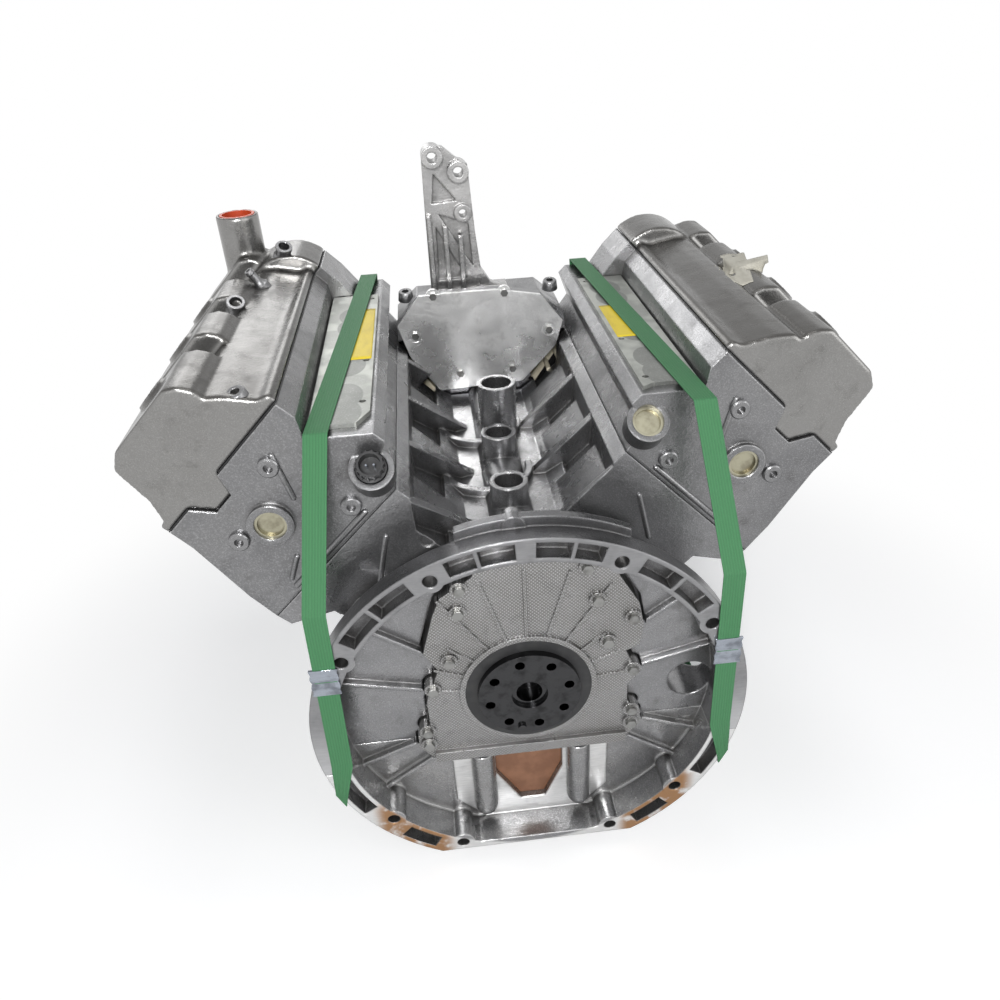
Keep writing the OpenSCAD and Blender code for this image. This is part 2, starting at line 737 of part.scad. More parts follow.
module chamber() intersection() {
    cylinder(r = bore_r - 0.5, h = 400);
    along(-bore_r, bore_r) polygon([[-bore_r, chamber_h - 1], [-bore_r, chamber_h],
        [0, chamber_h + bore_r * tan(valve_angle)], [bore_r, chamber_h], [bore_r, chamber_h - 1]]);
}

module rod_between(p, q, r) {
    d = q - p;
    translate(p) rotate([0, atan2(d[0], d[2]), 0]) cylinder(r = r, h = norm(d));
}

module intake_port() {
    rod_between([valve_t + 3.4, 0, valve_h + 13], [valve_t + 78, 0, valve_h + 13 + 46], port_r);
}

module exhaust_port() {
    rod_between([-valve_t - 3, 0, valve_h + 11], [-deck_out_t - 10, 0, valve_h + 8], port_r);
}

// Room for the cams, leaving a bearing wall at each cylinder
module cam_trough(side) {
    bounds = [bank_rear_y(side) + head_wall, cyl_y(0, side), cyl_y(1, side), cyl_y(2, side),
        chain_y[0] - chain_w - 14];
    for (k = [0:3]) {
        y0 = bounds[k] + (k == 0 ? 0 : 9);
        y1 = bounds[k + 1] - 9;
        along(y0, y1) translate([-trough_t, cam_h - 31]) square([2 * trough_t, 100]);
    }
}

// Open shaft for the timing chain at the front of a head
module chain_well(side) {
    along(chain_y[0] - chain_w / 2 - 6, head_front_y - head_wall)
        polygon([[-76, 200], [-76, chamber_h + 4], [-front_t + head_wall, cam_h - 48],
            [-front_t + head_wall, cam_h + 9], [front_t - head_wall, cam_h + 9],
            [front_t - head_wall, cam_h - 22], [72, chamber_h + 4], [72, 200]]);
}

module cylinder_head_left() color("silver") cylinder_head(LEFT);
module cylinder_head_right() color("silver") cylinder_head(RIGHT);

module head_gaskets() color("black") for (side = SIDES) bank(side) difference() {
    along(bank_rear_y(side), head_front_y) translate([-deck_out_t, deck_h])
        square([deck_out_t + deck_in_t, gasket_t]);
    chain_well(side);
    for (i = [0:2]) translate([0, cyl_y(i, side), 0]) cylinder(r = bore_r + 0.4, h = 400);
}

module cam_bearing_caps() color("silver") for (side = SIDES) bank(side)
    for (i = [0:2], kind = [INTAKE, EXHAUST]) difference() {
        along(cyl_y(i, side) - 8, cyl_y(i, side) + 8) translate([kind * cam_t, cam_h])
            polygon([[-24, 0], [24, 0], [24, 8], [14, 18], [-14, 18], [-24, 8]]);
        along(cyl_y(i, side) - 10, cyl_y(i, side) + 10) translate([kind * cam_t, cam_h])
            circle(cam_journal_r + run_gap);
    }

module valve_springs() color("dimgray") for (side = SIDES, kind = [INTAKE, EXHAUST]) bank(side)
    at_valves(side, kind) translate([0, 0, spring_seat])
        ring(10, tappet_r - 1.8, tappet_top - 9 - cam_lift - 0.5 - spring_seat);

module valves(i, side, kind) color("lightgray") bank(side) for (dy = [-valve_dy, valve_dy])
    translate([0, cyl_y(i, side) + dy, 0]) valve_line(kind) {
        r = kind == INTAKE ? intake_r : exhaust_r;
        cylinder(r = r, h = 2.5);
        translate([0, 0, 2.5]) cylinder(r1 = r - 3, r2 = stem_r, h = 9);
        cylinder(r = stem_r, h = tappet_top - 3);
        difference() {
            translate([0, 0, tappet_top - tappet_l]) cylinder(r = tappet_r, h = tappet_l);
            translate([0, 0, tappet_top - tappet_l - 1]) cylinder(r = tappet_r - 1.4, h = tappet_l - 2);
        }
        translate([0, 0, tappet_top - 9]) cylinder(r = tappet_r - 2.5, h = 5);
    }

module camshaft(side, kind) color("gray") bank(side) translate([kind * cam_t, 0, cam_h]) {
    bar(cam_journal_r, bank_rear_y(side) + head_wall + 1, chain_row(side) + chain_w / 2 + 4);
    for (i = [0:2], dy = [-valve_dy, valve_dy])
        along(cyl_y(i, side) + dy - 7, cyl_y(i, side) + dy + 7)
            rotate(kind * 150 + i * 120) cam_lobe();
    sprocket(2 * sprocket_r, 2 * crank_teeth, chain_row(side), 18);
}

module cam_lobe() {
    nose = 8;
    circle(cam_base_r);
    translate([0, cam_base_r + cam_lift - nose]) circle(nose);
    polygon([[-cam_base_r + 1, 3], [-nose + 0.5, cam_base_r + cam_lift - nose + 3],
        [nose - 0.5, cam_base_r + cam_lift - nose + 3], [cam_base_r - 1, 3]]);
}

/* COVERS */
function cover_low() = [[82, gasket_t], [82, 9], [72, 13], [56, cover_low_h - 12],
    [44, cover_low_h], [-44, cover_low_h], [-58, cover_low_h - 14], [-72, 9], [-78, 9], [-78, gasket_t]];
function cover_low_room() = [[77, 0], [77, 5], [69, 9], [52, cover_low_h - 14], [41, cover_low_h - skin_t],
    [-42, cover_low_h - skin_t], [-54, cover_low_h - 17], [-69, 8], [-69, 0]];
function cover_high(in_t) = [[in_t - 2, 9], [in_t, cover_top_h - 18], [in_t - 6, cover_top_h - 7],
    [in_t - 15, cover_top_h], [-38, cover_top_h], [-53, cover_top_h - 8], [-60, cover_top_h - 38], [-62, 9]];
function cover_high_room(in_t) = [[in_t - 6, 8], [in_t - 4, cover_top_h - 20], [in_t - 9, cover_top_h - 10],
    [in_t - 17, cover_top_h - skin_t], [-36, cover_top_h - skin_t], [-50, cover_top_h - 11],
    [-56, cover_top_h - 38], [-58, 8]];

// Screw lugs along the outer rim
function lug_places(side) = [for (i = [0:4]) bank_rear_y(side) + 40 + i * 66];
lug_h = 12;
module cam_cover(side) {
    rear = bank_rear_y(side) + 3;
    in_t = side == LEFT ? 48 : 36;
    humps = [[rear, rear + 84], [cyl_y(1, side) - 34, cyl_y(1, side) + 30],
        [cyl_y(2, side) - 34, cyl_y(2, side) + 30], [cam_cover_front_y - 62, cam_cover_front_y]];
    bank(side) translate([0, 0, cam_h]) difference() {
        union() {
            along(rear, cam_cover_front_y) polygon(cover_low());
            for (b = humps) along(b[0], b[1]) polygon(cover_high(in_t));
            along(front_y, cam_cover_front_y) cover_front(0, gasket_t);
            along(rear, rear + skin_t) half_moon(0.3);
            for (y = lug_places(side)) translate([-79, y, gasket_t]) cylinder(r = 9, h = lug_h);
            for (i = [0:2]) translate([0, cyl_y(i, side), 10]) cylinder(r = 16, h = cover_top_h - 6);
        }
        along(rear + skin_t, cam_cover_front_y - skin_t) polygon(cover_low_room());
        along(front_y + head_wall - skin_t, cam_cover_front_y - skin_t) cover_front(skin_t, -1);
        for (b = humps) along(b[0] + skin_t, b[1] - skin_t) polygon(cover_high_room(in_t));
        for (i = [0:2]) translate([0, cyl_y(i, side), -5]) cylinder(r = 12, h = 100);
    }
}

module cam_cover_left() color("silver") difference() {
    union() {
        cam_cover(LEFT);
        difference() {
            neck_place() cylinder(r = neck_r, h = neck_l);
            bank(LEFT) translate([-100, 300, 0]) cube([200, 200, cam_h + cover_low_h]);
        }
    }
    neck_place() translate([0, 0, 10]) cylinder(r = neck_r - 4, h = neck_l);
}

module cam_cover_right() color("silver") cam_cover(RIGHT);

// Flat gasket under the rim of each cam cover
module rim_plan(side, inset) {
    rear = bank_rear_y(side) + 3;
    polygon([[-78 + inset, rear + inset], [82 - inset, rear + inset], [82 - inset, front_y + inset],
        [front_t - inset, front_y + inset], [front_t - inset, head_front_y - inset],
        [-front_t + inset, head_front_y - inset], [-front_t + inset, front_y + inset],
        [-78 + inset, front_y + inset]]);
}

module cam_cover_gaskets() color("black") for (side = SIDES) bank(side) translate([0, 0, cam_h])
    linear_extrude(gasket_t) difference() {
        rim_plan(side, 0.5);
        rim_plan(side, skin_t + 0.5);
        translate([-48, bank_rear_y(side)]) square([46, skin_t + 4]);
    }

// Round bulges of a cam cover over the two cam sprockets
module cover_front(inset, bottom) {
    intersection() {
        union() {
            for (kind = [INTAKE, EXHAUST]) translate([kind * cam_t, 0]) circle(front_t - cam_t - inset);
            translate([-cam_t, 0]) square([2 * cam_t, front_t - cam_t - inset]);
        }
        translate([-front_t, bottom]) square([2 * front_t, 90]);
    }
}

module half_moon(gap) {
    polygon([[-2 - gap, 2], [-12 - gap, -19 + gap], [-34 + gap, -19 + gap], [-48 + gap, 2]]);
}

// Filler neck, cast on the front end of the left cover and standing upright
neck_t = 16;
neck_h = cam_h + 54;
neck_y = cam_cover_front_y - 24;
neck_l = 70;
neck_r = 24;
module neck_place() {
    bank(LEFT) translate([neck_t, neck_y, neck_h]) rotate([0, half_vee, 0]) children();
}

module oil_filler_seal() color("orangered") neck_place() translate([0, 0, neck_l - 22])
    ring(neck_r - 7, neck_r - 4 - fit_gap, 21);

/* REAR SEAL COVER */
function seal_cover_right() = [[40, 154], [72, 148], [88, 120], [105, 90], [110, 64], [107, 40], [94, 34],
    [107, 2], [97, -10], [97, -32], [111, -48], [111, -66], [96, -84]];
function seal_cover_left() = [[-96, -84], [-111, -66], [-111, -50], [-98, -40], [-98, -4], [-84, 34],
    [-96, 56], [-84, 98], [-76, 118], [-46, 138], [-40, 154]];
module seal_cover_outline(grow) {
    polygon([for (p = concat(seal_cover_right(), seal_cover_left()))
        [p[0] + sign(p[0]) * grow, p[1] + sign(p[1]) * grow]]);
}

cover_screw_places = [[-61, 102], [-73, 46], [-91, 12], [-101, -42], [-101, -60], [101, -42], [101, -60],
    [101, 12], [76, 50], [99, 76], [66, 101], [-58, 128], [56, 138]];

module rear_seal_cover() color("silver") difference() {
    union() {
        along(cover_y + 3, rear_wall_y) seal_cover_outline(0);
        bar(seal_r + 5, cover_y, rear_wall_y);
        for (p = cover_screw_places) bar_at(p[0], p[1], 8, cover_y, rear_wall_y);
        for (a = [-85:17:85]) rotate([0, a, 0]) translate([-1.2, cover_y + 1.5, seal_r])
            cube([2.4, 8, a > -50 && a < 50 ? 80 : 34]);
        along(cover_y - 2, rear_wall_y) polygon([[-96, -72], [96, -72], [96, -84], [-96, -84]]);
    }
    difference() {
        along(cover_y + 3 + cover_wall, rear_wall_y + 1) seal_cover_outline(-cover_wall);
        bar(seal_r + 5, cover_y, rear_wall_y);
        for (p = cover_screw_places) bar_at(p[0], p[1], 8, cover_y, rear_wall_y);
    }
    bar(seal_r, cover_y - 1, cover_y + seal_w);
    bar(flange_d / 2 + 4, cover_y, rear_wall_y + 1);
    for (p = cover_screw_places) bar_at(p[0], p[1], 3.2, cover_y - 3, rear_wall_y + 1);
}

module crank_seals() color("black") {
    bar_ring(flange_d / 2 + 0.05, seal_r, cover_y, cover_y + seal_w);
    bar_ring(30.05, 40, timing_front_y - timing_wall - 4, timing_front_y);
}

module bar_ring(in_r, out_r, y0, y1) {
    along(y0, y1) difference() {
        circle(out_r);
        circle(in_r);
    }
}

/* OIL PANS */
module pan_outline(grow) {
    polygon([[-rail_w - grow, rail_z], [-rail_w - grow, rail_z - 10], [-rail_w + 10 - grow, rail_z - 18],
        [-rail_w + 14 - grow, pan_z], [rail_w - 14 + grow, pan_z], [rail_w - 10 + grow, rail_z - 18],
        [rail_w + grow, rail_z - 10], [rail_w + grow, rail_z]]);
}

module oil_pan_upper() color("silver") difference() {
    union() {
        along(bell_depth + 1, timing_front_y) pan_outline(0);
        above_rail(false) {
            union() {
                bell();
                for (side = SIDES) bell_side(side);
            }
        }
        along(bell_depth - 2, bell_depth + 2)
            polygon([[-80, -88], [-80, -160], [-50, ring_floor + 7], [50, ring_floor + 7], [80, -160], [80, -88]]);
        for (side = SIDES) intersection() {
            translate([side * 49.5, bell_depth - 4, -168]) cylinder(r = 12, h = 82);
            translate([-80, bell_depth - 30, -200]) cube([160, 40, 200]);
        }
        for (side = SIDES) translate([side * 49.5, bell_depth - 4, -168]) sphere(r = 12);
    }
    along(rear_wall_y + 8, timing_front_y - head_wall) polygon([[-106, rail_z + 1],
        [106, rail_z + 1], [106, pan_z + pan_wall], [-106, pan_z + pan_wall]]);
    translate([-sump_w + 14, 92, pan_z - 1]) cube([2 * sump_w - 28, 292, 40]);
    along(bell_depth - bell_rib_h - 1, rear_wall_y) intersection() {
        union() {
            seal_cover_outline(3);
            for (p = cover_screw_places) translate(p) circle(10);
        }
        translate([-150, -300]) square([300, 300 + rail_z + 1]);
    }
    along(bell_depth - 1, rear_wall_y + 9) difference() {
        circle(flange_d / 2 + 20);
        translate([-90, rail_z - 90]) square([180, 80]);
    }
    along(bell_depth - 3, rear_wall_y - 5) window_outline(0);
    above_rail(false) bell_bolts(-1, bell_depth + 10, bell_hole_d / 2);
    for (a = [[107, 122], [136.5, 148]], side = SIDES)
        ring_pocket(side * a[0], side * a[1], bell_in_r + 4, bell_r - 4, flange_w - 4);
}

module window_outline(gap) {
    polygon([[-37 + gap, -94 - gap], [33 - gap, -94 - gap], [33 - gap, -126], [14 - gap, -170 + gap],
        [-12 + gap, -170 + gap], [-37 + gap, -126]]);
}

module access_cover() color("saddlebrown") along(bell_depth + 6, rear_wall_y - 5) window_outline(0.2);

module oil_pan_lower() color("gray") difference() {
    along(80, 396) polygon([[-sump_w - 6, pan_z], [-sump_w - 6, pan_z - 8], [-sump_w, pan_z - 14],
        [-sump_w + 10, sump_z + 8], [-sump_w + 18, sump_z], [sump_w - 18, sump_z], [sump_w - 10, sump_z + 8],
        [sump_w, pan_z - 14], [sump_w + 6, pan_z - 8], [sump_w + 6, pan_z]]);
    along(80 + 12, 396 - 12) polygon([[-sump_w + 14, pan_z + 1], [-sump_w + 16, sump_z + 12],
        [-sump_w + 22, sump_z + pan_wall], [sump_w - 22, sump_z + pan_wall], [sump_w - 16, sump_z + 12],
        [sump_w - 14, pan_z + 1]]);
}

/* TIMING DRIVE */
module timing_outline() {
    polygon([[-104, rail_z], [104, rail_z], [bank_x(-deck_out_t, deck_h), bank_z(-deck_out_t, deck_h)],
        [bank_x(deck_in_t, deck_h), bank_z(deck_in_t, deck_h)], [100, 234], [74, 256], [-74, 256],
        [-100, 234], [-bank_x(deck_in_t, deck_h), bank_z(deck_in_t, deck_h)],
        [-bank_x(-deck_out_t, deck_h), bank_z(-deck_out_t, deck_h)]]);
}

module timing_room() {
    polygon([[-94, rail_z - 1], [94, rail_z - 1], [bank_x(-80, deck_h - 28), bank_z(-80, deck_h - 28)],
        [bank_x(-76, deck_h + 3), bank_z(-76, deck_h + 3)], [bank_x(72, deck_h + 3), bank_z(72, deck_h + 3)],
        [86, 216], [64, 246], [-64, 246], [-86, 216],
        [-bank_x(72, deck_h + 3), bank_z(72, deck_h + 3)], [-bank_x(-76, deck_h + 3), bank_z(-76, deck_h + 3)],
        [-bank_x(-80, deck_h - 28), bank_z(-80, deck_h - 28)]]);
}

module timing_cover() color("silver") difference() {
    along(block_front_y, timing_front_y) timing_outline();
    along(block_front_y - 1, timing_front_y - timing_wall) timing_room();
    bar(40, timing_front_y - 20, timing_front_y + 1);
}

// Outline around the crank sprocket and both cam sprockets of a bank, grown by a distance
lean = atan2(cam_h, cam_t) - 90 - asin(sprocket_r / norm([cam_t, cam_h]));
function arc(x, y, r, a0, a1, steps) =
    [for (k = [0:steps]) [x + r * cos(a0 + (a1 - a0) * k / steps), y + r * sin(a0 + (a1 - a0) * k / steps)]];
module belt(grow) {
    large = 2 * sprocket_r + grow;
    polygon(concat(arc(cam_t, cam_h, large, lean, 90, 10), arc(-cam_t, cam_h, large, 90, 180 - lean, 10),
        arc(0, 0, sprocket_r + grow, 180 - lean, 360 + lean, 14)));
}

module timing_chains() color("dimgray") for (side = SIDES) bank(side) difference() {
    along(chain_row(side) - chain_w / 2, chain_row(side) + chain_w / 2) difference() {
        belt(chain_t / 2);
        belt(-chain_t / 2);
    }
    along(chain_row(side) - sprocket_w / 2 - 0.4, chain_row(side) + sprocket_w / 2 + 0.4) belt(2.3);
}

module chain_guides() color("ivory") for (side = SIDES) bank(side) for (kind = [INTAKE, EXHAUST]) {
    off = chain_t / 2 + 0.3;
    length = norm([cam_t, cam_h]) * 0.5;
    mirror([kind == INTAKE ? 0 : 1, 0, 0]) {
        along(chain_row(side) - chain_w / 2, chain_row(side) + chain_w / 2)
            translate([(sprocket_r + off) * cos(lean), (sprocket_r + off) * sin(lean)]) rotate(lean)
            translate([0, 70]) square([8, length - 40]);
        for (h = [length + 4, length + 24]) rotate([0, -lean, 0])
            translate([sprocket_r + off + 4, 0, h]) bar(3, block_front_y, chain_row(side));
    }
}

/* VALLEY PLATE AND BRACKET */
function bank_x(t, h) = (h - t) * root_half;
function bank_z(t, h) = (h + t) * root_half;

module plate_outline(grow) {
    polygon([[-72 - grow, 271], [-46, 272], [18, 272], [71, 262], [97 + grow, 228], [88, 198],
        [46, 155 - grow], [-56, 151 - grow], [-88, 196], [-100 - grow, 237]]);
}

plate_screw_places = [[-55, 270], [28, 268], [-80, 224], [80, 219], [-30, 172], [34, 173]];

module valley_end_plate() color("silver") difference() {
    along(plate_y, plate_y + plate_t) {
        plate_outline(0);
        for (p = plate_screw_places) translate(p) circle(8);
    }
    for (p = plate_screw_places) bar_at(p[0], p[1], 2.6, 300, 500);
}

module bracket_outline() {
    polygon([[-56, 256], [36, 256], [36, 263], [16, 270], [5, 288], [1, 330], [-3, 404], [-16, 412],
        [-30, 424], [-40, bracket_top_z], [-50, bracket_top_z - 4], [-54, bracket_top_z - 16], [-55, 356]]);
}

module accessory_bracket() color("silver") difference() {
    union() {
        along(bracket_y, bracket_y + bracket_t) bracket_outline();
        bar_at(-42, bracket_top_z - 11, 12, bracket_y - 8, bracket_y + 22);
        bar_at(-14, 397, 12, bracket_y - 6, bracket_y + 20);
        bar_at(-12, 352, 10, bracket_y - 4, bracket_y + 16);
        translate([-56, bracket_y - 8, 256]) cube([92, 34, 8]);
        for (x = [-54, -36, -19]) translate([x, bracket_y - 7, 256]) cube([5, 18, 96 - (x + 54) * 0.7]);
    }
    along(bracket_y - 1, bracket_y + 5) {
        polygon([[-46, 276], [-12, 276], [-44, 338]]);
        polygon([[-4, 290], [-6, 340], [-40, 352]]);
        polygon([[-46, 364], [-18, 366], [-42, 396]]);
    }
    bar_at(-42, bracket_top_z - 11, 5.5, 400, 480);
    bar_at(-14, 397, 5.5, 400, 480);
    bar_at(-12, 352, 4.5, 400, 480);
}

/* SMALL PARTS */
module core_plugs() color("khaki") {
    for (side = SIDES) bank(side)
        translate([core_t, bank_rear_y(side) - 3, core_h]) rotate([-90, 0, 0]) cup(core_r);
    service_place(RIGHT) translate([0, 0, -3]) rotate([180, 0, 0]) cup(service_r);
}

module cup(r) {
    difference() {
        cylinder(r = r, h = 8);
        translate([0, 0, -1]) cylinder(r = r - 2.5, h = 4);
    }
}

module coolant_sensor() color("dimgray") service_place(LEFT) translate([0, 0, -12]) difference() {
    union() {
        cylinder(r = service_r - fit_gap, h = 5);
        cylinder(r = 10, h = 16);
    }
    translate([0, 0, 8]) cylinder(r = 7.5, h = 20);
}

module hex_screw(x, z, y, r, l) {
    bar_at(x, z, r, y, y + l);
    translate([x, y, z]) rotate([90, 0, 0]) cylinder(r = r * 1.8, h = 4, $fn = 6);
}

module cover_screws() color("gray") {
    for (p = cover_screw_places) hex_screw(p[0], p[1], cover_y, 3, 30);
    for (p = plate_screw_places) hex_screw(p[0], p[1], plate_y, 2.5, 4);
    for (side = SIDES) bank(side) for (y = lug_places(side))
        translate([-80, y, cam_h + gasket_t + lug_h]) cylinder(r = 5.5, h = 6, $fn = 6);
}

module port_cover(side) {
    difference() {
        translate([0, 0, port_z]) linear_extrude(4) polygon([
            [side * (port_in_x + 3), 96], [side * (port_in_x + 14), bank_rear_y(side) + 14],
            [side * (port_out_x - 2), bank_rear_y(side) + 14], [side * (port_out_x - 1), front_y - 2],
            [side * (port_in_x + 3), front_y - 2]]);
        for (i = [0:3]) translate([side * (port_in_x + 10), 116 + i * 94, port_z - 1]) cylinder(r = 3, h = 8);
    }
}

module port_cover_left() color("darkgray") port_cover(LEFT);
module port_cover_right() color("darkgray") port_cover(RIGHT);

// Closed route of a strap on the right-hand side, by hand: place, then tilt of its width
strap_low_z = -99;
strap_low_x = sqrt(pow(bell_r + 2, 2) - pow(strap_low_z - ring_z, 2));
strap_lean = -atan2(strap_low_x, ring_z - strap_low_z);
strap_route = [[161, 58, 272.8, 0], [131, 486.5, 274.6, 0], [147, 485.6, 8, -20], [151.8, 487, -7, -51],
    [strap_low_x, 54, strap_low_z, strap_lean], [strap_low_x, -1.8, strap_low_z, strap_lean],
    [184, -1.8, -50, 0], [180, -1.8, 134, 0]];

module strap_section(p) {
    translate([p[0], p[1], p[2]]) rotate([0, p[3], 0]) cube([strap_w, strap_t, strap_t], center = true);
}

module straps() color("seagreen") for (side = SIDES) mirror([side == LEFT ? 1 : 0, 0, 0]) {
    last = len(strap_route) - 1;
    for (k = [0:last]) hull() {
        strap_section(strap_route[k]);
        strap_section(strap_route[k == last ? 0 : k + 1]);
    }
}

module strap_seals() color("lightsteelblue") for (side = SIDES)
    translate([side * 182.5, -1.8, side == LEFT ? 60 : 46]) difference() {
        cube([strap_w + 8, 3.4, 30], center = true);
        cube([strap_w + 3, 1.6, 40], center = true);
    }

module camshaft_left_intake() color("gray") camshaft(LEFT, INTAKE);
module camshaft_left_exhaust() color("gray") camshaft(LEFT, EXHAUST);
module camshaft_right_intake() color("gray") camshaft(RIGHT, INTAKE);
module camshaft_right_exhaust() color("gray") camshaft(RIGHT, EXHAUST);

engine_block();
main_bearing_caps();
main_bearing_shells();
crankshaft();
crank_pulley();
balance_shaft();
rear_seal_cover();
crank_seals();
oil_pan_upper();
oil_pan_lower();
access_cover();
timing_cover();
timing_chains();
chain_guides();
valley_end_plate();
accessory_bracket();
cylinder_head_left();
cylinder_head_right();
head_gaskets();
cam_bearing_caps();
valve_springs();
cam_cover_left();
cam_cover_right();
cam_cover_gaskets();
oil_filler_seal();
core_plugs();
coolant_sensor();
cover_screws();
port_cover_left();
port_cover_right();
straps();
strap_seals();
camshaft_left_intake();
camshaft_left_exhaust();
camshaft_right_intake();
camshaft_right_exhaust();
piston(0, LEFT);  // piston_left_1
piston(1, LEFT);  // piston_left_2
piston(2, LEFT);  // piston_left_3
piston(0, RIGHT);  // piston_right_1
piston(1, RIGHT);  // piston_right_2
piston(2, RIGHT);  // piston_right_3
rod(0, LEFT);  // rod_left_1
rod(1, LEFT);  // rod_left_2
rod(2, LEFT);  // rod_left_3
rod(0, RIGHT);  // rod_right_1
rod(1, RIGHT);  // rod_right_2
rod(2, RIGHT);  // rod_right_3
valves(0, LEFT, INTAKE);  // intake_valves_left_1
valves(1, LEFT, INTAKE);  // intake_valves_left_2
valves(2, LEFT, INTAKE);  // intake_valves_left_3
valves(0, RIGHT, INTAKE);  // intake_valves_right_1
valves(1, RIGHT, INTAKE);  // intake_valves_right_2
valves(2, RIGHT, INTAKE);  // intake_valves_right_3
valves(0, LEFT, EXHAUST);  // exhaust_valves_left_1
valves(1, LEFT, EXHAUST);  // exhaust_valves_left_2
valves(2, LEFT, EXHAUST);  // exhaust_valves_left_3
valves(0, RIGHT, EXHAUST);  // exhaust_valves_right_1
valves(1, RIGHT, EXHAUST);  // exhaust_valves_right_2
valves(2, RIGHT, EXHAUST);  // exhaust_valves_right_3
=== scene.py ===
"""Looks of a ninety degree V-six long block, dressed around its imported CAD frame.

X points to the viewer's right, Y towards the front of the engine and Z up. The origin lies on the
crankshaft axis in the face of the bell housing ring. Lengths are in metres where nothing else
is said.
"""

from __future__ import annotations

import logging
import math
from dataclasses import dataclass
from enum import Enum
from typing import Callable, Iterable

import bmesh
import bpy
from mathutils import Matrix, Vector
from mathutils.bvhtree import BVHTree


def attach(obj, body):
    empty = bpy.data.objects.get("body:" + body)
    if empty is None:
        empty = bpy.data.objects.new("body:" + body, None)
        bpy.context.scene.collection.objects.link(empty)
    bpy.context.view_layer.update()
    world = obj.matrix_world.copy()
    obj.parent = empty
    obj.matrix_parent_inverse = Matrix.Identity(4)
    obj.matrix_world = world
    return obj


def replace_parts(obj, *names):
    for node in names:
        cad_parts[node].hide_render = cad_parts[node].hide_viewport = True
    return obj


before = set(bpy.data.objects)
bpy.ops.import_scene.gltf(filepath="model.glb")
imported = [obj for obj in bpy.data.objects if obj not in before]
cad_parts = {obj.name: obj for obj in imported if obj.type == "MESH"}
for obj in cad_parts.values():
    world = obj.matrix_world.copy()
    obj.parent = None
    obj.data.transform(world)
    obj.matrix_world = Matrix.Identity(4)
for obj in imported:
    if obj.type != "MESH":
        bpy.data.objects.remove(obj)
LOG = logging.getLogger("long_block")
MM = 0.001
Colour = tuple[float, float, float]
Point = tuple[float, float, float]


class Side(Enum):
    """The two banks, named as the viewer sees them from the flywheel end."""

    LEFT = -1
    RIGHT = 1


class Body(Enum):
    """Bodies of the frame that the scene's own pieces ride on."""

    ENGINE = "engine"


# Shader tools


class Wire:
    """An output socket with the sums that a shader needs written as Python expressions."""

    def __init__(self, paint: "Paint", socket: bpy.types.NodeSocket) -> None:
        """Wraps a socket.

        Args:
            paint: The material that the socket belongs to.
            socket: The output socket.
        """
        self.paint = paint
        self.socket = socket

    def _math(self, operation: str, *values: "Wire | float") -> "Wire":
        """Adds a Math node.

        Args:
            operation: The node's operation.
            values: Its inputs in order.

        Returns:
            The result.
        """
        return self.paint.node("ShaderNodeMath", {"operation": operation}, dict(enumerate(values)))

    def __add__(self, other: "Wire | float") -> "Wire":
        """Sum."""
        return self._math("ADD", self, other)

    def __radd__(self, other: float) -> "Wire":
        """Sum with a number first."""
        return self._math("ADD", other, self)

    def __sub__(self, other: "Wire | float") -> "Wire":
        """Difference."""
        return self._math("SUBTRACT", self, other)

    def __rsub__(self, other: float) -> "Wire":
        """Difference with a number first."""
        return self._math("SUBTRACT", other, self)

    def __mul__(self, other: "Wire | float") -> "Wire":
        """Product."""
        return self._math("MULTIPLY", self, other)

    def __abs__(self) -> "Wire":
        """Size without sign."""
        return self._math("ABSOLUTE", self)

    def root(self) -> "Wire":
        """Square root."""
        return self._math("SQRT", self)

    def sine(self) -> "Wire":
        """Sine of an angle in radians."""
        return self._math("SINE", self)

    def least(self, other: "Wire | float") -> "Wire":
        """Smaller of two values."""
        return self._math("MINIMUM", self, other)

    def most(self, other: "Wire | float") -> "Wire":
        """Larger of two values."""
        return self._math("MAXIMUM", self, other)

    def ramp(self, low: float, high: float) -> "Wire":
        """Rises smoothly from 0 to 1.

        Args:
            low: Value that gives 0.
            high: Value that gives 1.

        Returns:
            The ramp's height.
        """
        flip = low > high
        ends = {1: min(low, high), 2: max(low, high)}
        made = self.paint.node(
            "ShaderNodeMapRange", {"interpolation_type": "SMOOTHSTEP"}, {0: self, **ends}
        )
        return 1.0 - made if flip else made

    def between(self, low: float, high: float, soft: float) -> "Wire":
        """1 between two values and 0 outside them.

        Args:
            low: Lower limit.
            high: Upper limit.
            soft: Width of the change.

        Returns:
            The mask.
        """
        return self.ramp(low - soft, low + soft) * self.ramp(high + soft, high - soft)


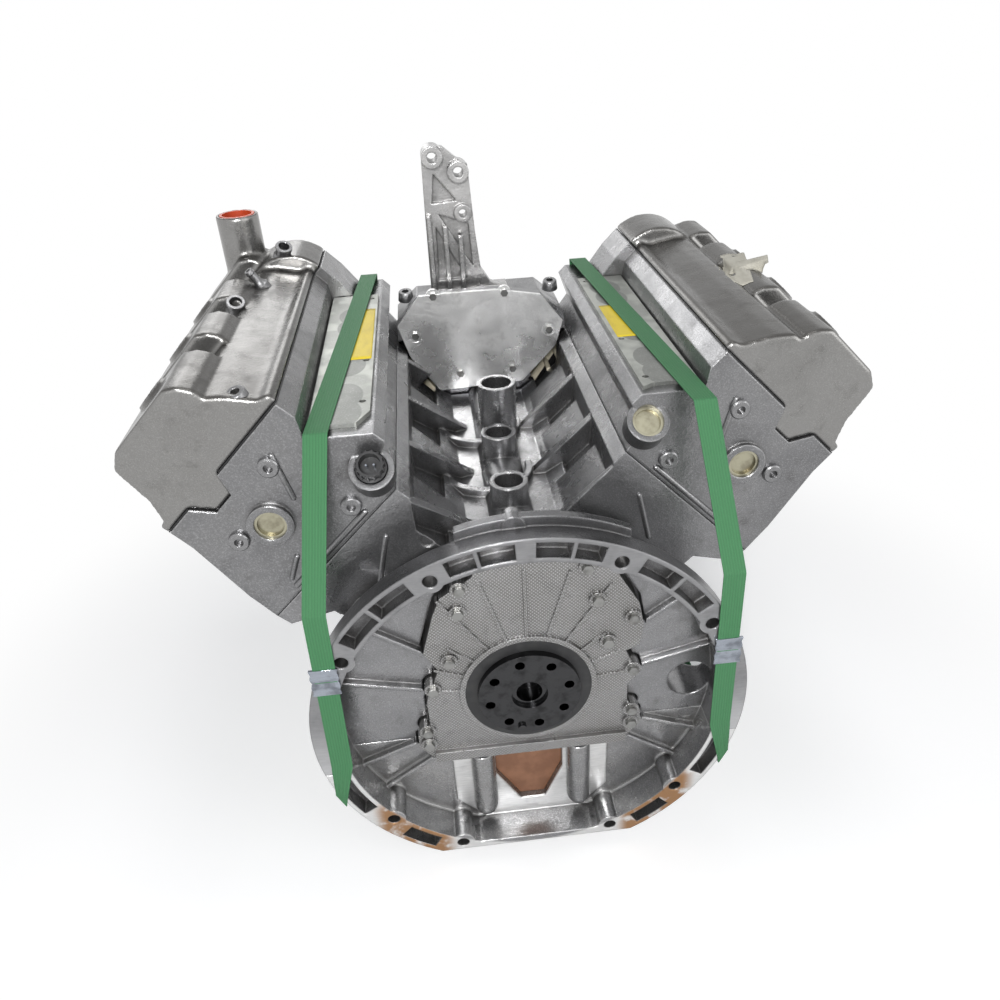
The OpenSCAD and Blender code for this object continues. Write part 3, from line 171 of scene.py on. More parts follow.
class Paint:
    """A procedural material under construction."""

    def __init__(self, name: str) -> None:
        """Starts a material.

        Args:
            name: Name of the material.
        """
        self.material = bpy.data.materials.new(name)
        self.material.use_nodes = True
        self.tree = self.material.node_tree
        self.tree.nodes.clear()
        self.out = self.tree.nodes.new("ShaderNodeOutputMaterial")
        self.place = self.node("ShaderNodeTexCoord", {}, {}, "Object")
        axes = self.tree.nodes.new("ShaderNodeSeparateXYZ")
        self.tree.links.new(self.place.socket, axes.inputs[0])
        self.x, self.y, self.z = (Wire(self, axes.outputs[k]) for k in range(3))

    def node(
        self,
        kind: str,
        settings: dict[str, object],
        sockets: dict[int | str, object],
        output: int | str = 0,
    ) -> Wire:
        """Makes any node.

        Args:
            kind: Type of the node.
            settings: Its properties, or its colour ramp's stops under "stops".
            sockets: Values or wires of its inputs, by place or name.
            output: Output that is wanted.

        Returns:
            That output.
        """
        made = self.tree.nodes.new(kind)
        for key, value in settings.items():
            if key == "stops":
                for _ in range(len(value) - 2):
                    made.color_ramp.elements.new(0.5)
                for stop, (where, colour) in zip(made.color_ramp.elements, value):
                    stop.position = where
                    stop.color = (*colour, 1.0)
            else:
                setattr(made, key, value)
        for key, value in sockets.items():
            if isinstance(value, Wire):
                self.tree.links.new(value.socket, made.inputs[key])
            else:
                made.inputs[key].default_value = value
        return Wire(self, made.outputs[output])

    def noise(self, size: float, detail: float = 4.0, stretch: Point = (1, 1, 1)) -> Wire:
        """Cloudy pattern.

        Args:
            size: Rough size of a blot in metres.
            detail: Number of finer layers.
            stretch: Scale along each axis.

        Returns:
            The pattern from 0 to 1.
        """
        place = self.place
        if stretch != (1, 1, 1):
            place = self.node("ShaderNodeMapping", {}, {"Vector": place, "Scale": stretch})
        return self.node(
            "ShaderNodeTexNoise",
            {},
            {"Vector": place, "Scale": 1.0 / size, "Detail": detail, "Roughness": 0.55},
        )

    def cells(self, size: float) -> Wire:
        """Distance to the nearest of many scattered points.

        Args:
            size: Rough distance between points in metres.

        Returns:
            The distance in cell sizes.
        """
        return self.node(
            "ShaderNodeTexVoronoi", {}, {"Vector": self.place, "Scale": 1.0 / size}, "Distance"
        )

    def blend(self, mask: Wire | float, low: object, high: object) -> Wire:
        """Mixes two colours.

        Args:
            mask: Share of the second colour.
            low: First colour.
            high: Second colour.

        Returns:
            The mixed colour.
        """
        ends = [(*c, 1.0) if isinstance(c, tuple) else c for c in (low, high)]
        return self.node(
            "ShaderNodeMix", {"data_type": "RGBA"}, {0: mask, 6: ends[0], 7: ends[1]}, 2
        )

    def crevice(self, reach: float) -> Wire:
        """How open the surface is, judged on the piece itself.

        Args:
            reach: Distance in metres over which a neighbour shades.

        Returns:
            0 in a deep corner and 1 in the open.
        """
        return self.node(
            "ShaderNodeAmbientOcclusion",
            {"only_local": True, "samples": 4},
            {"Distance": reach},
            "AO",
        )

    def rounded(self, radius: float) -> Wire:
        """Normal with rounded edges.

        Args:
            radius: Radius of the rounding in metres.

        Returns:
            The normal.
        """
        return self.node("ShaderNodeBevel", {"samples": 4}, {"Radius": radius})

    def upward(self) -> Wire:
        """Where the surface faces up, so that painted shade can darken upward faces.

        Returns:
            1 on a level top and 0 on a wall.
        """
        flat = self.node("ShaderNodeNewGeometry", {}, {}, "Normal")
        height = self.node("ShaderNodeSeparateXYZ", {}, {0: flat}, 2)
        return height.ramp(0.2, 0.85)

    def edge_highlights(self, radius: float) -> Wire:
        """Where edges get a painted highlight.

        Args:
            radius: Radius in metres of the rounding that stands for an edge.

        Returns:
            1 on an edge and 0 on flat ground.
        """
        flat = self.node("ShaderNodeNewGeometry", {}, {}, "True Normal")
        bend = self.node(
            "ShaderNodeVectorMath", {"operation": "DOT_PRODUCT"},
            {0: self.rounded(radius), 1: flat}, 1
        )
        return (1.0 - bend).ramp(0.02, 0.2)

    def finish(
        self,
        colour: object,
        roughness: object,
        metallic: object,
        height: Wire | None = None,
        depth: float = 0.0,
        edge: float = 0.0,
    ) -> bpy.types.Material:
        """Ends the material with its shader.

        Args:
            colour: Base colour or wire.
            roughness: Number or wire.
            metallic: Number or wire.
            height: Pattern that the bump follows.
            depth: Full height of the bump in metres.
            edge: Radius of rounded edges in metres.

        Returns:
            The finished material.
        """
        sockets: dict[int | str, object] = {
            "Base Color": (*colour, 1.0) if isinstance(colour, tuple) else colour,
            "Roughness": roughness,
            "Metallic": metallic,
        }
        normal = self.rounded(edge) if edge else None
        if height is not None:
            bumped: dict[int | str, object] = {"Distance": depth, "Height": height}
            if normal is not None:
                bumped["Normal"] = normal
            normal = self.node("ShaderNodeBump", {}, bumped)
        if normal is not None:
            sockets["Normal"] = normal
        shader = self.node("ShaderNodeBsdfPrincipled", {}, sockets)
        self.tree.links.new(shader.socket, self.out.inputs[0])
        return self.material


# Finishes

Mask = Callable[[Paint], Wire]


@dataclass(frozen=True)
class Casting:
    """Sand-cast or die-cast alloy with stains, painted shade in corners and on upward faces,
    painted highlights on edges and in broad patches, and machined zones.
    """

    name: str
    tint: Colour = (0.22, 0.22, 0.225)
    stain_and_shade_tint: Colour = (0.05, 0.047, 0.043)
    bright: Colour = (0.6, 0.6, 0.61)
    edge_highlight_tint: Colour = (0.85, 0.85, 0.86)
    soot: Colour = (0.045, 0.045, 0.048)
    residue: Colour = (0.36, 0.2, 0.1)
    grain: float = 1.2 * MM
    depth: float = 0.2 * MM
    rough: float = 0.31
    edge: float = 2.5 * MM
    corner_shade: float = 0.85
    reach: float = 15 * MM
    machined: Mask | None = None
    dark: Mask | None = None
    tan: Mask | None = None
    waffle: float = 0.0
    wave: float = 24 * MM
    swell: float = 3.5
    edge_highlight_share: float = 0.6
    top_shade: float = 0.0
    painted_sheen: float = 0.15

    def make(self) -> bpy.types.Material:
        """Builds the material.

        Returns:
            The material.
        """
        paint = Paint(self.name)
        broad = paint.noise(70 * MM, 3)
        blots = paint.noise(17 * MM, 6)
        grain = paint.noise(self.grain, 3)
        pits = paint.cells(2.6 * MM)
        open_share = paint.crevice(self.reach)
        # Painted shade: the colour darkens in corners and recesses where the occlusion finds near
        # neighbours, mixed with real stains; the grain's light flecks fade there too
        corner = 1.0 - open_share.ramp(0.25, 0.95)
        spots = blots.ramp(0.52, 0.78) * 0.4 + broad.ramp(0.45, 0.72) * 0.3
        stains_and_corner_shade = (corner * self.corner_shade + spots).least(1.0)
        colour = paint.blend(stains_and_corner_shade, self.tint, self.stain_and_shade_tint)
        # Painted highlight: open edges are blended toward a near-white tint
        worn = paint.edge_highlights(self.edge * 0.8) * open_share * blots.ramp(0.3, 0.6) * self.edge_highlight_share
        colour = paint.blend(grain.ramp(0.45, 0.75) * 0.28 * open_share, colour, self.bright)
        colour = paint.blend(worn, colour, self.edge_highlight_tint)
        # Painted sheen: broad patches are blended toward the bright colour, and the same patches
        # are also made less rough
        sheen = broad.ramp(0.38, 0.62)
        colour = paint.blend(sheen * self.painted_sheen, colour, self.bright)
        # Painted shade: faces that point up are darkened toward the stain colour
        if self.top_shade:
            colour = paint.blend(paint.upward() * self.top_shade, colour, self.stain_and_shade_tint)
        rough = self.rough + blots * 0.2 - 0.08 + stains_and_corner_shade * 0.14 - sheen * 0.1
        height = grain * 0.6 + pits * 0.4 + paint.noise(self.wave, 2) * self.swell
        if self.waffle:
            turn = 2 * math.pi / self.waffle
            bumps = (paint.x * turn).sine() * (paint.z * turn).sine()
            # Painted highlight: the waffle's crests are blended toward the bright colour
            colour = paint.blend(bumps.ramp(0.1, 0.6) * 0.5, colour, self.bright)
            height = height * 0.4 + bumps.ramp(-0.2, 0.7)
        if self.machined is not None:
            zone = self.machined(paint)
            streak = paint.noise(0.9 * MM, 2, (0.06, 1.0, 1.0))
            clean = paint.blend(streak * 0.5 + stains_and_corner_shade * 0.4, self.bright, self.tint)
            colour = paint.blend(zone, colour, clean)
            rough = rough * (1.0 - zone) + zone * (0.24 + streak * 0.14)
            height = height * (1.0 - zone * 0.93) + streak * zone * 0.06
        if self.dark is not None:
            band = self.dark(paint)
            colour = paint.blend(band * (0.35 + blots * 0.3), colour, self.soot)
        if self.tan is not None:
            colour = paint.blend(self.tan(paint) * blots.ramp(0.3, 0.5), colour, self.residue)
        return paint.finish(colour, rough, 0.9, height, self.depth, self.edge)


@dataclass(frozen=True)
class Metal:
    """Turned, pressed or plated metal."""

    name: str
    tint: Colour
    worn: Colour
    rough: float = 0.3
    metallic: float = 1.0
    depth: float = 0.03 * MM
    edge: float = 0.5 * MM

    def make(self) -> bpy.types.Material:
        """Builds the material.

        Returns:
            The material.
        """
        paint = Paint(self.name)
        fine = paint.noise(1.1 * MM, 3)
        blots = paint.noise(14 * MM, 4)
        # Painted shade: corners darken toward the worn colour, mixed with real stains
        corner = 1.0 - paint.crevice(6 * MM).ramp(0.2, 0.85)
        stains_and_corner_shade = (blots.ramp(0.45, 0.7) * 0.6 + corner * 0.5).least(1.0)
        colour = paint.blend(stains_and_corner_shade, self.tint, self.worn)
        rough = self.rough + fine * 0.14 + blots * 0.1 - 0.1
        return paint.finish(colour, rough, self.metallic, fine, self.depth, self.edge)


@dataclass(frozen=True)
class Moulded:
    """Rubber, plastic or paint."""

    name: str
    tint: Colour
    worn: Colour
    rough: float = 0.55
    grain: float = 0.8 * MM
    depth: float = 0.05 * MM
    edge: float = 0.5 * MM

    def make(self) -> bpy.types.Material:
        """Builds the material.

        Returns:
            The material.
        """
        paint = Paint(self.name)
        grain = paint.noise(self.grain, 2)
        blots = paint.noise(16 * MM, 4)
        colour = paint.blend(blots.ramp(0.4, 0.72) * 0.8, self.tint, self.worn)
        rough = self.rough + grain * 0.12 + blots * 0.16 - 0.12
        return paint.finish(colour, rough, 0.0, grain, self.depth, self.edge)


@dataclass(frozen=True)
class Foil:
    """Bright foil over the intake ports, with the ports printed through as dull ovals."""

    name: str
    side: Side
    ports: tuple[float, ...]
    tint: Colour = (0.4, 0.41, 0.38)
    dull: Colour = (0.17, 0.175, 0.165)
    glint: Colour = (0.55, 0.56, 0.54)
    port_x: float = 142 * MM
    half_width: float = 17 * MM
    half_length: float = 27 * MM

    def make(self) -> bpy.types.Material:
        """Builds the material.

        Returns:
            The material.
        """
        paint = Paint(self.name)
        blots = paint.noise(20 * MM, 4)
        fine = paint.noise(1.5 * MM, 3)
        mask = paint.x * 0.0
        for y in self.ports:
            across = (paint.x - self.side.value * self.port_x) * (1 / self.half_width)
            along = (paint.y - y) * (1 / self.half_length)
            mask = mask.most((across * across + along * along).root().ramp(1.04, 0.96))
        soft = paint.noise(45 * MM, 2).ramp(0.44, 0.56) * 0.5
        colour = paint.blend(mask * 0.85, paint.blend(soft, self.tint, self.dull), self.dull)
        colour = paint.blend(fine.ramp(0.5, 0.8) * 0.3, colour, self.glint)
        return paint.finish(colour, 0.34 + blots * 0.2, 0.75, fine + blots, 0.12 * MM, 0.6 * MM)


@dataclass(frozen=True)
class Paper:
    """Paper or film that is stuck on: a blank label or masking tape."""

    name: str
    tint: Colour
    worn: Colour
    rough: float = 0.6
    wrinkle: float = 0.25 * MM

    def make(self) -> bpy.types.Material:
        """Builds the material.

        Returns:
            The material.
        """
        paint = Paint(self.name)
        folds = paint.noise(9 * MM, 3, (1.0, 0.35, 1.0))
        fibre = paint.noise(0.8 * MM, 2)
        colour = paint.blend(folds.ramp(0.4, 0.7) * 0.6 + fibre * 0.15, self.tint, self.worn)
        return paint.finish(colour, self.rough + fibre * 0.1, 0.0, folds + fibre * 0.2,
                            self.wrinkle)


@dataclass(frozen=True)
class Webbing:
    """Woven polyester band, its weave laid along the band's own UV map."""

    name: str
    tint: Colour = (0.012, 0.075, 0.03)
    light: Colour = (0.055, 0.23, 0.085)
    pitch: float = 1.5 * MM

    def make(self) -> bpy.types.Material:
        """Builds the material.

        Returns:
            The material.
        """
        paint = Paint(self.name)
        uv = paint.node("ShaderNodeUVMap", {"uv_map": "band"}, {})
        axes = paint.node("ShaderNodeSeparateXYZ", {}, {0: uv})
        across = Wire(paint, axes.socket.node.outputs[1])
        turn = 2 * math.pi / self.pitch
        weft = ((axes + across * 0.8) * turn).sine()
        warp = ((axes - across * 0.8) * turn).sine()
        weave = (weft * warp) * 0.5 + 0.5
        rib = (across * (turn * 0.62)).sine() * 0.5 + 0.5
        fuzz = paint.noise(0.7 * MM, 2)
        shade = (weave * 0.6 + rib * 0.2 + fuzz * 0.35).least(1.0)
        colour = paint.blend(shade, self.tint, self.light)
        return paint.finish(colour, 0.5 + fuzz * 0.15, 0.0, weave + rib * 0.5, 0.25 * MM)


def radius(paint: Paint, x: float, z: float) -> Wire:
    """Distance from a line along the engine.

    Args:
        paint: Material under construction.
        x: Place of the line across the engine.
        z: Height of the line.

    Returns:
        The distance.
    """
    across, up = paint.x - x, paint.z - z
    return (across * across + up * up).root()


# Mesh tools


def new_piece(
    name: str, mesh: bmesh.types.BMesh, finish: bpy.types.Material | None = None
) -> bpy.types.Object:
    """Makes an object of a mesh, in place.

    Args:
        name: Name of the piece.
        mesh: Its mesh, which is freed.
        finish: Its material, if it has one yet.

    Returns:
        The object.
    """
    data = bpy.data.meshes.new(name)
    mesh.to_mesh(data)
    mesh.free()
    if finish is not None:
        data.materials.append(finish)
    piece = bpy.data.objects.new(name, data)
    bpy.context.scene.collection.objects.link(piece)
    return piece


def smooth_faces(piece: bpy.types.Object, angle: float) -> None:
    """Shades a piece smoothly, with sharp edges kept.

    Args:
        piece: The piece.
        angle: Angle in degrees past which an edge stays sharp.
    """
    piece.data.shade_smooth()
    mesh = bmesh.new()
    mesh.from_mesh(piece.data)
    for edge in mesh.edges:
        edge.smooth = len(edge.link_faces) == 2 and edge.calc_face_angle(0.0) < math.radians(angle)
    mesh.to_mesh(piece.data)
    mesh.free()


def settle(piece: bpy.types.Object) -> None:
    """Applies a piece's modifiers to its mesh.

    Args:
        piece: The piece.
    """
    bpy.context.view_layer.update()
    graph = bpy.context.evaluated_depsgraph_get()
    data = bpy.data.meshes.new_from_object(piece.evaluated_get(graph))
    piece.modifiers.clear()
    piece.data = data


def copy_node(node: str, name: str) -> bpy.types.Object:
    """Copies a CAD node as a welded mesh.

    Args:
        node: Name of the node.
        name: Name of the copy.

    Returns:
        The copy.
    """
    mesh = bmesh.new()
    mesh.from_mesh(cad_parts[node].data)
    bmesh.ops.remove_doubles(mesh, verts=mesh.verts, dist=0.002 * MM)
    return new_piece(name, mesh)


def thicken(piece: bpy.types.Object, thick: float, offset: float) -> None:
    """Gives a sheet its thickness.

    Args:
        piece: The sheet.
        thick: Its thickness in metres.
        offset: 0 to grow to both sides and 1 to grow outward.
    """
    shell = piece.modifiers.new("thickness", "SOLIDIFY")
    shell.thickness, shell.offset = thick, offset
    settle(piece)


def spin_outline(
    mesh: bmesh.types.BMesh, outline: Iterable[tuple[float, float]], steps: int
) -> None:
    """Turns a closed outline about the Z axis.

    Args:
        mesh: Mesh that receives the shape.
        outline: Radii and heights of its corners in metres.
        steps: Number of faces round the shape.
    """
    ring = [mesh.verts.new((r, 0, h)) for r, h in outline]
    edges = [mesh.edges.new(pair) for pair in zip(ring, ring[1:] + ring[:1])]
    bmesh.ops.spin(mesh, geom=ring + edges, cent=(0, 0, 0), axis=(0, 0, 1), angle=2 * math.pi,
                   steps=steps, use_merge=True)
    bmesh.ops.remove_doubles(mesh, verts=mesh.verts, dist=0.01 * MM)


def soften(node: str, name: str, voxel: float, rounds: int, finish: bpy.types.Material,
           faces: int = 150_000) -> bpy.types.Object:
    """Copies a CAD casting and rounds its edges and inner corners as a mould does.

    Args:
        node: Name of the CAD node that the copy stands for.
        name: Name of the piece.
        voxel: Size of the remesh in metres.
        rounds: Rounds of smoothing.
        finish: Material of the piece.
        faces: Most triangles that the piece may have.

    Returns:
        The piece.
    """
    piece = copy_node(node, name)
    remesh = piece.modifiers.new("remesh", "REMESH")
    remesh.mode = "VOXEL"
    remesh.voxel_size = voxel
    relax = piece.modifiers.new("relax", "SMOOTH")
    relax.factor = 0.5
    relax.iterations = rounds
    settle(piece)
    count = len(piece.data.polygons) * 2
    if count > faces:
        thin = piece.modifiers.new("thin", "DECIMATE")
        thin.ratio = faces / count
        settle(piece)
    piece.data.materials.clear()
    piece.data.materials.append(finish)
    piece.data.shade_smooth()
    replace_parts(piece, node)
    return piece


def enroll(piece: bpy.types.Object, body: Body) -> bpy.types.Object:
    """Puts a piece on a body and reports it.

    Args:
        piece: The piece.
        body: Body that it moves with.

    Returns:
        The piece.
    """
    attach(piece, body.value)
    LOG.info("%s: %d faces on %s", piece.name, len(piece.data.polygons), body.value)
    return piece


def dress(finish: bpy.types.Material, nodes: Iterable[str]) -> None:
    """Gives CAD nodes a material.

    Args:
        finish: The material.
        nodes: Names of the nodes.
    """
    for node in nodes:
        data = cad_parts[node].data
        data.materials.clear()
        data.materials.append(finish)
        LOG.info("%s: %s", node, finish.name)


# Studio


@dataclass
class Studio:
    """Camera, lamps and floor at the photograph's viewing angle."""

    azimuth: float = -4.3
    elevation: float = 32.3
    roll: float = 3.2
    place: Point = (-57.8 * MM, -549.5 * MM, 572.7 * MM)
    lens: float = 29.73
    sensor: float = 36.0
    shift: tuple[float, float] = (-0.0033, 0.0059)
    floor_z: float = -0.2165
    floor_glow: float = 0.2
    room: Colour = (0.62, 0.64, 0.68)
    room_level: float = 0.3

    def camera(self) -> None:
        """Places the camera."""
        angles = (self.azimuth, self.elevation, self.roll)
        turned, raised, tipped = (math.radians(v) for v in angles)
        flat = math.cos(raised)
        back = Vector((math.sin(turned) * flat, -math.cos(turned) * flat, math.sin(raised)))
        level = (-back).cross(Vector((0, 0, 1))).normalized()
        up = level.cross(-back)
        across = level * math.cos(tipped) - up * math.sin(tipped)
        upward = level * math.sin(tipped) + up * math.cos(tipped)
        data = bpy.data.cameras.new("camera")
        data.lens, data.sensor_width = self.lens, self.sensor
        data.shift_x, data.shift_y = self.shift
        data.clip_start = 0.01
        camera = bpy.data.objects.new("camera", data)
        turn = Matrix((across, upward, back)).transposed().to_4x4()
        camera.matrix_world = Matrix.Translation(self.place) @ turn
        bpy.context.scene.collection.objects.link(camera)
        bpy.context.scene.camera = camera

    def lamp(self, name: str, place: Point, aim: Point, size: float, power: float) -> None:
        """Adds a soft area lamp.

        Args:
            name: Name of the lamp.
            place: Where it hangs.
            aim: Point that it faces.
            size: Width of its square.
            power: Power in watts.
        """
        data = bpy.data.lights.new(name, "AREA")
        data.energy, data.size = power, size
        lamp = bpy.data.objects.new(name, data)
        lamp.location = place
        lamp.rotation_euler = (Vector(aim) - Vector(place)).to_track_quat("-Z", "Y").to_euler()
        bpy.context.scene.collection.objects.link(lamp)

    def backdrop(self) -> None:
        """Adds the world and the pale floor, which fades to plain white away from the engine."""
        world = bpy.data.worlds.new("studio")
        world.use_nodes = True
        bpy.context.scene.world = world
        tree = world.node_tree
        tree.nodes.clear()
        out = tree.nodes.new("ShaderNodeOutputWorld")
        room, white = (tree.nodes.new("ShaderNodeBackground") for _ in range(2))
        room.inputs[0].default_value = (*self.room, 1)
        room.inputs[1].default_value = self.room_level
        white.inputs[0].default_value = (1, 1, 1, 1)
        path = tree.nodes.new("ShaderNodeLightPath")
        seen = path.outputs["Is Camera Ray"]
        for name in ("Is Glossy Ray", "Is Transmission Ray"):
            most = tree.nodes.new("ShaderNodeMath")
            most.operation = "MAXIMUM"
            tree.links.new(seen, most.inputs[0])
            tree.links.new(path.outputs[name], most.inputs[1])
            seen = most.outputs[0]
        mix = tree.nodes.new("ShaderNodeMixShader")
        tree.links.new(seen, mix.inputs[0])
        tree.links.new(room.outputs[0], mix.inputs[1])
        tree.links.new(white.outputs[0], mix.inputs[2])
        tree.links.new(mix.outputs[0], out.inputs[0])
        floor = new_piece("pale_floor", self.floor_mesh(), self.floor_paint())

    def floor_mesh(self) -> bmesh.types.BMesh:
        """Makes the floor's grid.

        Returns:
            The mesh.
        """
        mesh = bmesh.new()
        bmesh.ops.create_grid(mesh, x_segments=2, y_segments=2, size=6.0)
        bmesh.ops.translate(mesh, verts=mesh.verts, vec=(0, 0.3, self.floor_z))
        return mesh

    def floor_paint(self) -> bpy.types.Material:
        """Makes the floor's material.

        Returns:
            The material.
        """
        paint = Paint("pale_floor")
        grain = paint.noise(3 * MM, 2)
        speck = paint.blend(grain * 0.1, (0.93, 0.93, 0.93), (0.88, 0.88, 0.88))
        matt = paint.node("ShaderNodeBsdfDiffuse", {}, {0: speck})
        glow = paint.node("ShaderNodeEmission", {}, {0: (1, 1, 1, 1), 1: self.floor_glow})
        lit = paint.node("ShaderNodeAddShader", {}, {0: matt, 1: glow})
        seen = paint.node("ShaderNodeLightPath", {}, {}, "Is Camera Ray")
        near = paint.node("ShaderNodeMixShader", {}, {0: seen, 1: matt, 2: lit})
        plain = paint.node("ShaderNodeEmission", {}, {0: (1, 1, 1, 1), 1: 1.0})
        ahead = paint.y - 0.24
        away = (paint.x * paint.x + ahead * ahead).root().ramp(0.4, 0.85)
        shown = paint.node("ShaderNodeMixShader", {}, {0: away, 1: near, 2: plain})
        paint.tree.links.new(shown.socket, paint.out.inputs[0])
        return paint.material

    def build(self) -> None:
        """Sets the whole studio up."""
        bpy.context.scene.view_settings.view_transform = "Standard"
        self.camera()
        self.lamp("key", (-0.25, -1.4, 1.1), (0, 0.2, 0.05), 0.4, 30)
        self.lamp("fill", (1.5, -1.0, 0.7), (0, 0.2, 0), 1.2, 9)
        self.lamp("top", (0.1, 0.5, 2.0), (0, 0.25, 0), 0.6, 5)
        self.lamp("rim", (-0.6, 1.9, 1.1), (0, 0.3, 0.1), 0.8, 6)
        self.backdrop()
        LOG.info("studio: camera, lamps and floor")


# Castings and machined parts of the frame


@dataclass
class LongBlock:
    """Finishes of the CAD nodes, and the softened castings."""

    ring_z: float = -17 * MM
    ring_in: float = 183 * MM
    rim_from: float = 201 * MM
    rim_to: float = 205 * MM
    panel_y: float = 33 * MM
    pin_y: tuple[float, ...] = (126 * MM, 232 * MM, 338 * MM)
    bank_offset: float = 28 * MM
    valve_dy: float = 18 * MM

    def ring_face(self, paint: Paint) -> Wire:
        """Mask of the milled ring face.

        Args:
            paint: Material under construction.

        Returns:
            The mask.
        """
        ring = radius(paint, 0, self.ring_z).ramp(self.ring_in - 4 * MM, self.ring_in)
        return paint.y.ramp(1.2 * MM, 0.4 * MM) * ring

    def ring_dark(self, paint: Paint) -> Wire:
        """Mask of the dark band round the upper ring.

        Args:
            paint: Material under construction.

        Returns:
            The mask.
        """
        rim = radius(paint, 0, self.ring_z).ramp(self.rim_from, self.rim_to)
        band = paint.y.ramp(30 * MM, 26 * MM) * rim
        return self.ring_face(paint).most(band) * paint.z.ramp(-60 * MM, 10 * MM)

    def milled_pan(self, paint: Paint) -> Wire:
        """Mask of the milled faces of the upper oil pan: its ring and the panel inside the bell.

        Args:
            paint: Material under construction.

        Returns:
            The mask.
        """
        panel = paint.y.between(self.panel_y - MM, self.panel_y + 1.5 * MM, 0.3 * MM)
        return self.ring_face(paint).most(panel * paint.z.ramp(-86 * MM, -88 * MM))

    def tan_lands(self, paint: Paint) -> Wire:
        """Mask of the tan residue low on the ring's face.

        Args:
            paint: Material under construction.

        Returns:
            The mask.
        """
        sides = abs(paint.x).between(90 * MM, 160 * MM, 8 * MM)
        return self.ring_face(paint) * sides * paint.z.ramp(-105 * MM, -125 * MM)

    def ports(self, side: Side) -> tuple[float, ...]:
        """Places of a bank's intake ports along the engine.

        Args:
            side: The bank.

        Returns:
            Their places.
        """
        shift = side.value * self.bank_offset / 2
        return tuple(y + shift + dy for y in self.pin_y for dy in (-self.valve_dy, self.valve_dy))

    def build(self) -> None:
        """Dresses every CAD node and softens the cam covers."""
        inner = ("camshaft", "piston", "rod_", "intake_valves", "exhaust_valves")
        heads, moving = ([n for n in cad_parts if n.startswith(starts)]
                         for starts in ("cylinder_head", inner))
        looks = (
            (Casting("cast_alloy", (0.18, 0.18, 0.184)),
             [*heads, "timing_cover", "cam_bearing_caps"]),
            (Casting("bracket_alloy", (0.45, 0.445, 0.44), corner_shade=0.75), ["accessory_bracket"]),
            (Casting("block_alloy", machined=self.ring_face, dark=self.ring_dark),
             ["engine_block"]),
            (Casting("pan_alloy", bright=(0.9, 0.9, 0.89), machined=self.milled_pan,
                     tan=self.tan_lands), ["oil_pan_upper"]),
            (Casting("waffle_alloy", (0.2, 0.196, 0.188), grain=0.8 * MM, waffle=3.6 * MM,
                     edge=0.8 * MM), ["rear_seal_cover"]),
            (Casting("plate_alloy", (0.86, 0.86, 0.85), corner_shade=0.5, edge=0.8 * MM),
             ["valley_end_plate"]),
            (Metal("machined_steel", (0.2, 0.2, 0.21), (0.07, 0.065, 0.06), 0.26),
             [*moving, "crank_pulley", "balance_shaft", "main_bearing_caps", "timing_chains",
              "valve_springs", "oil_pan_lower"]),
            (Metal("dark_steel", (0.06, 0.06, 0.062), (0.015, 0.015, 0.015), 0.2),
             ["crankshaft"]),
            (Metal("bright_steel", (0.5, 0.5, 0.51), (0.28, 0.27, 0.26)),
             ["main_bearing_shells"]),
            (Metal("zinc_screws", (0.3, 0.3, 0.29), (0.08, 0.075, 0.07)), ["cover_screws"]),
            (Metal("plug_brass", (0.42, 0.4, 0.3), (0.16, 0.14, 0.1), 0.34), ["core_plugs"]),
            (Moulded("black_rubber", (0.012, 0.012, 0.013), (0.03, 0.03, 0.03)),
             ["crank_seals", "head_gaskets", "cam_cover_gaskets"]),
            (Moulded("orange_seal", (0.62, 0.075, 0.02), (0.42, 0.05, 0.02), 0.45),
             ["oil_filler_seal"]),
            (Moulded("brown_plate", (0.16, 0.07, 0.035), (0.23, 0.11, 0.06), 0.5),
             ["access_cover"]),
            (Moulded("ivory_nylon", (0.6, 0.55, 0.42), (0.45, 0.4, 0.3), 0.5),
             ["chain_guides"]),
        )
        for look, nodes in looks:
            dress(look.make(), nodes)
        for side in Side:
            word = side.name.lower()
            dress(Foil(f"foil_{word}", side, self.ports(side)).make(), [f"port_cover_{word}"])
            cover = Casting(f"cover_alloy_{word}", (0.24, 0.236, 0.23), bright=(0.5, 0.5, 0.49),
                            top_shade=0.8, grain=0.9 * MM, depth=0.14 * MM, rough=0.27).make()
            shell = soften(f"cam_cover_{word}", f"cover_shell_{word}", 2.0 * MM, 9, cover)
            enroll(shell, Body.ENGINE)


# Pieces of the scene alone


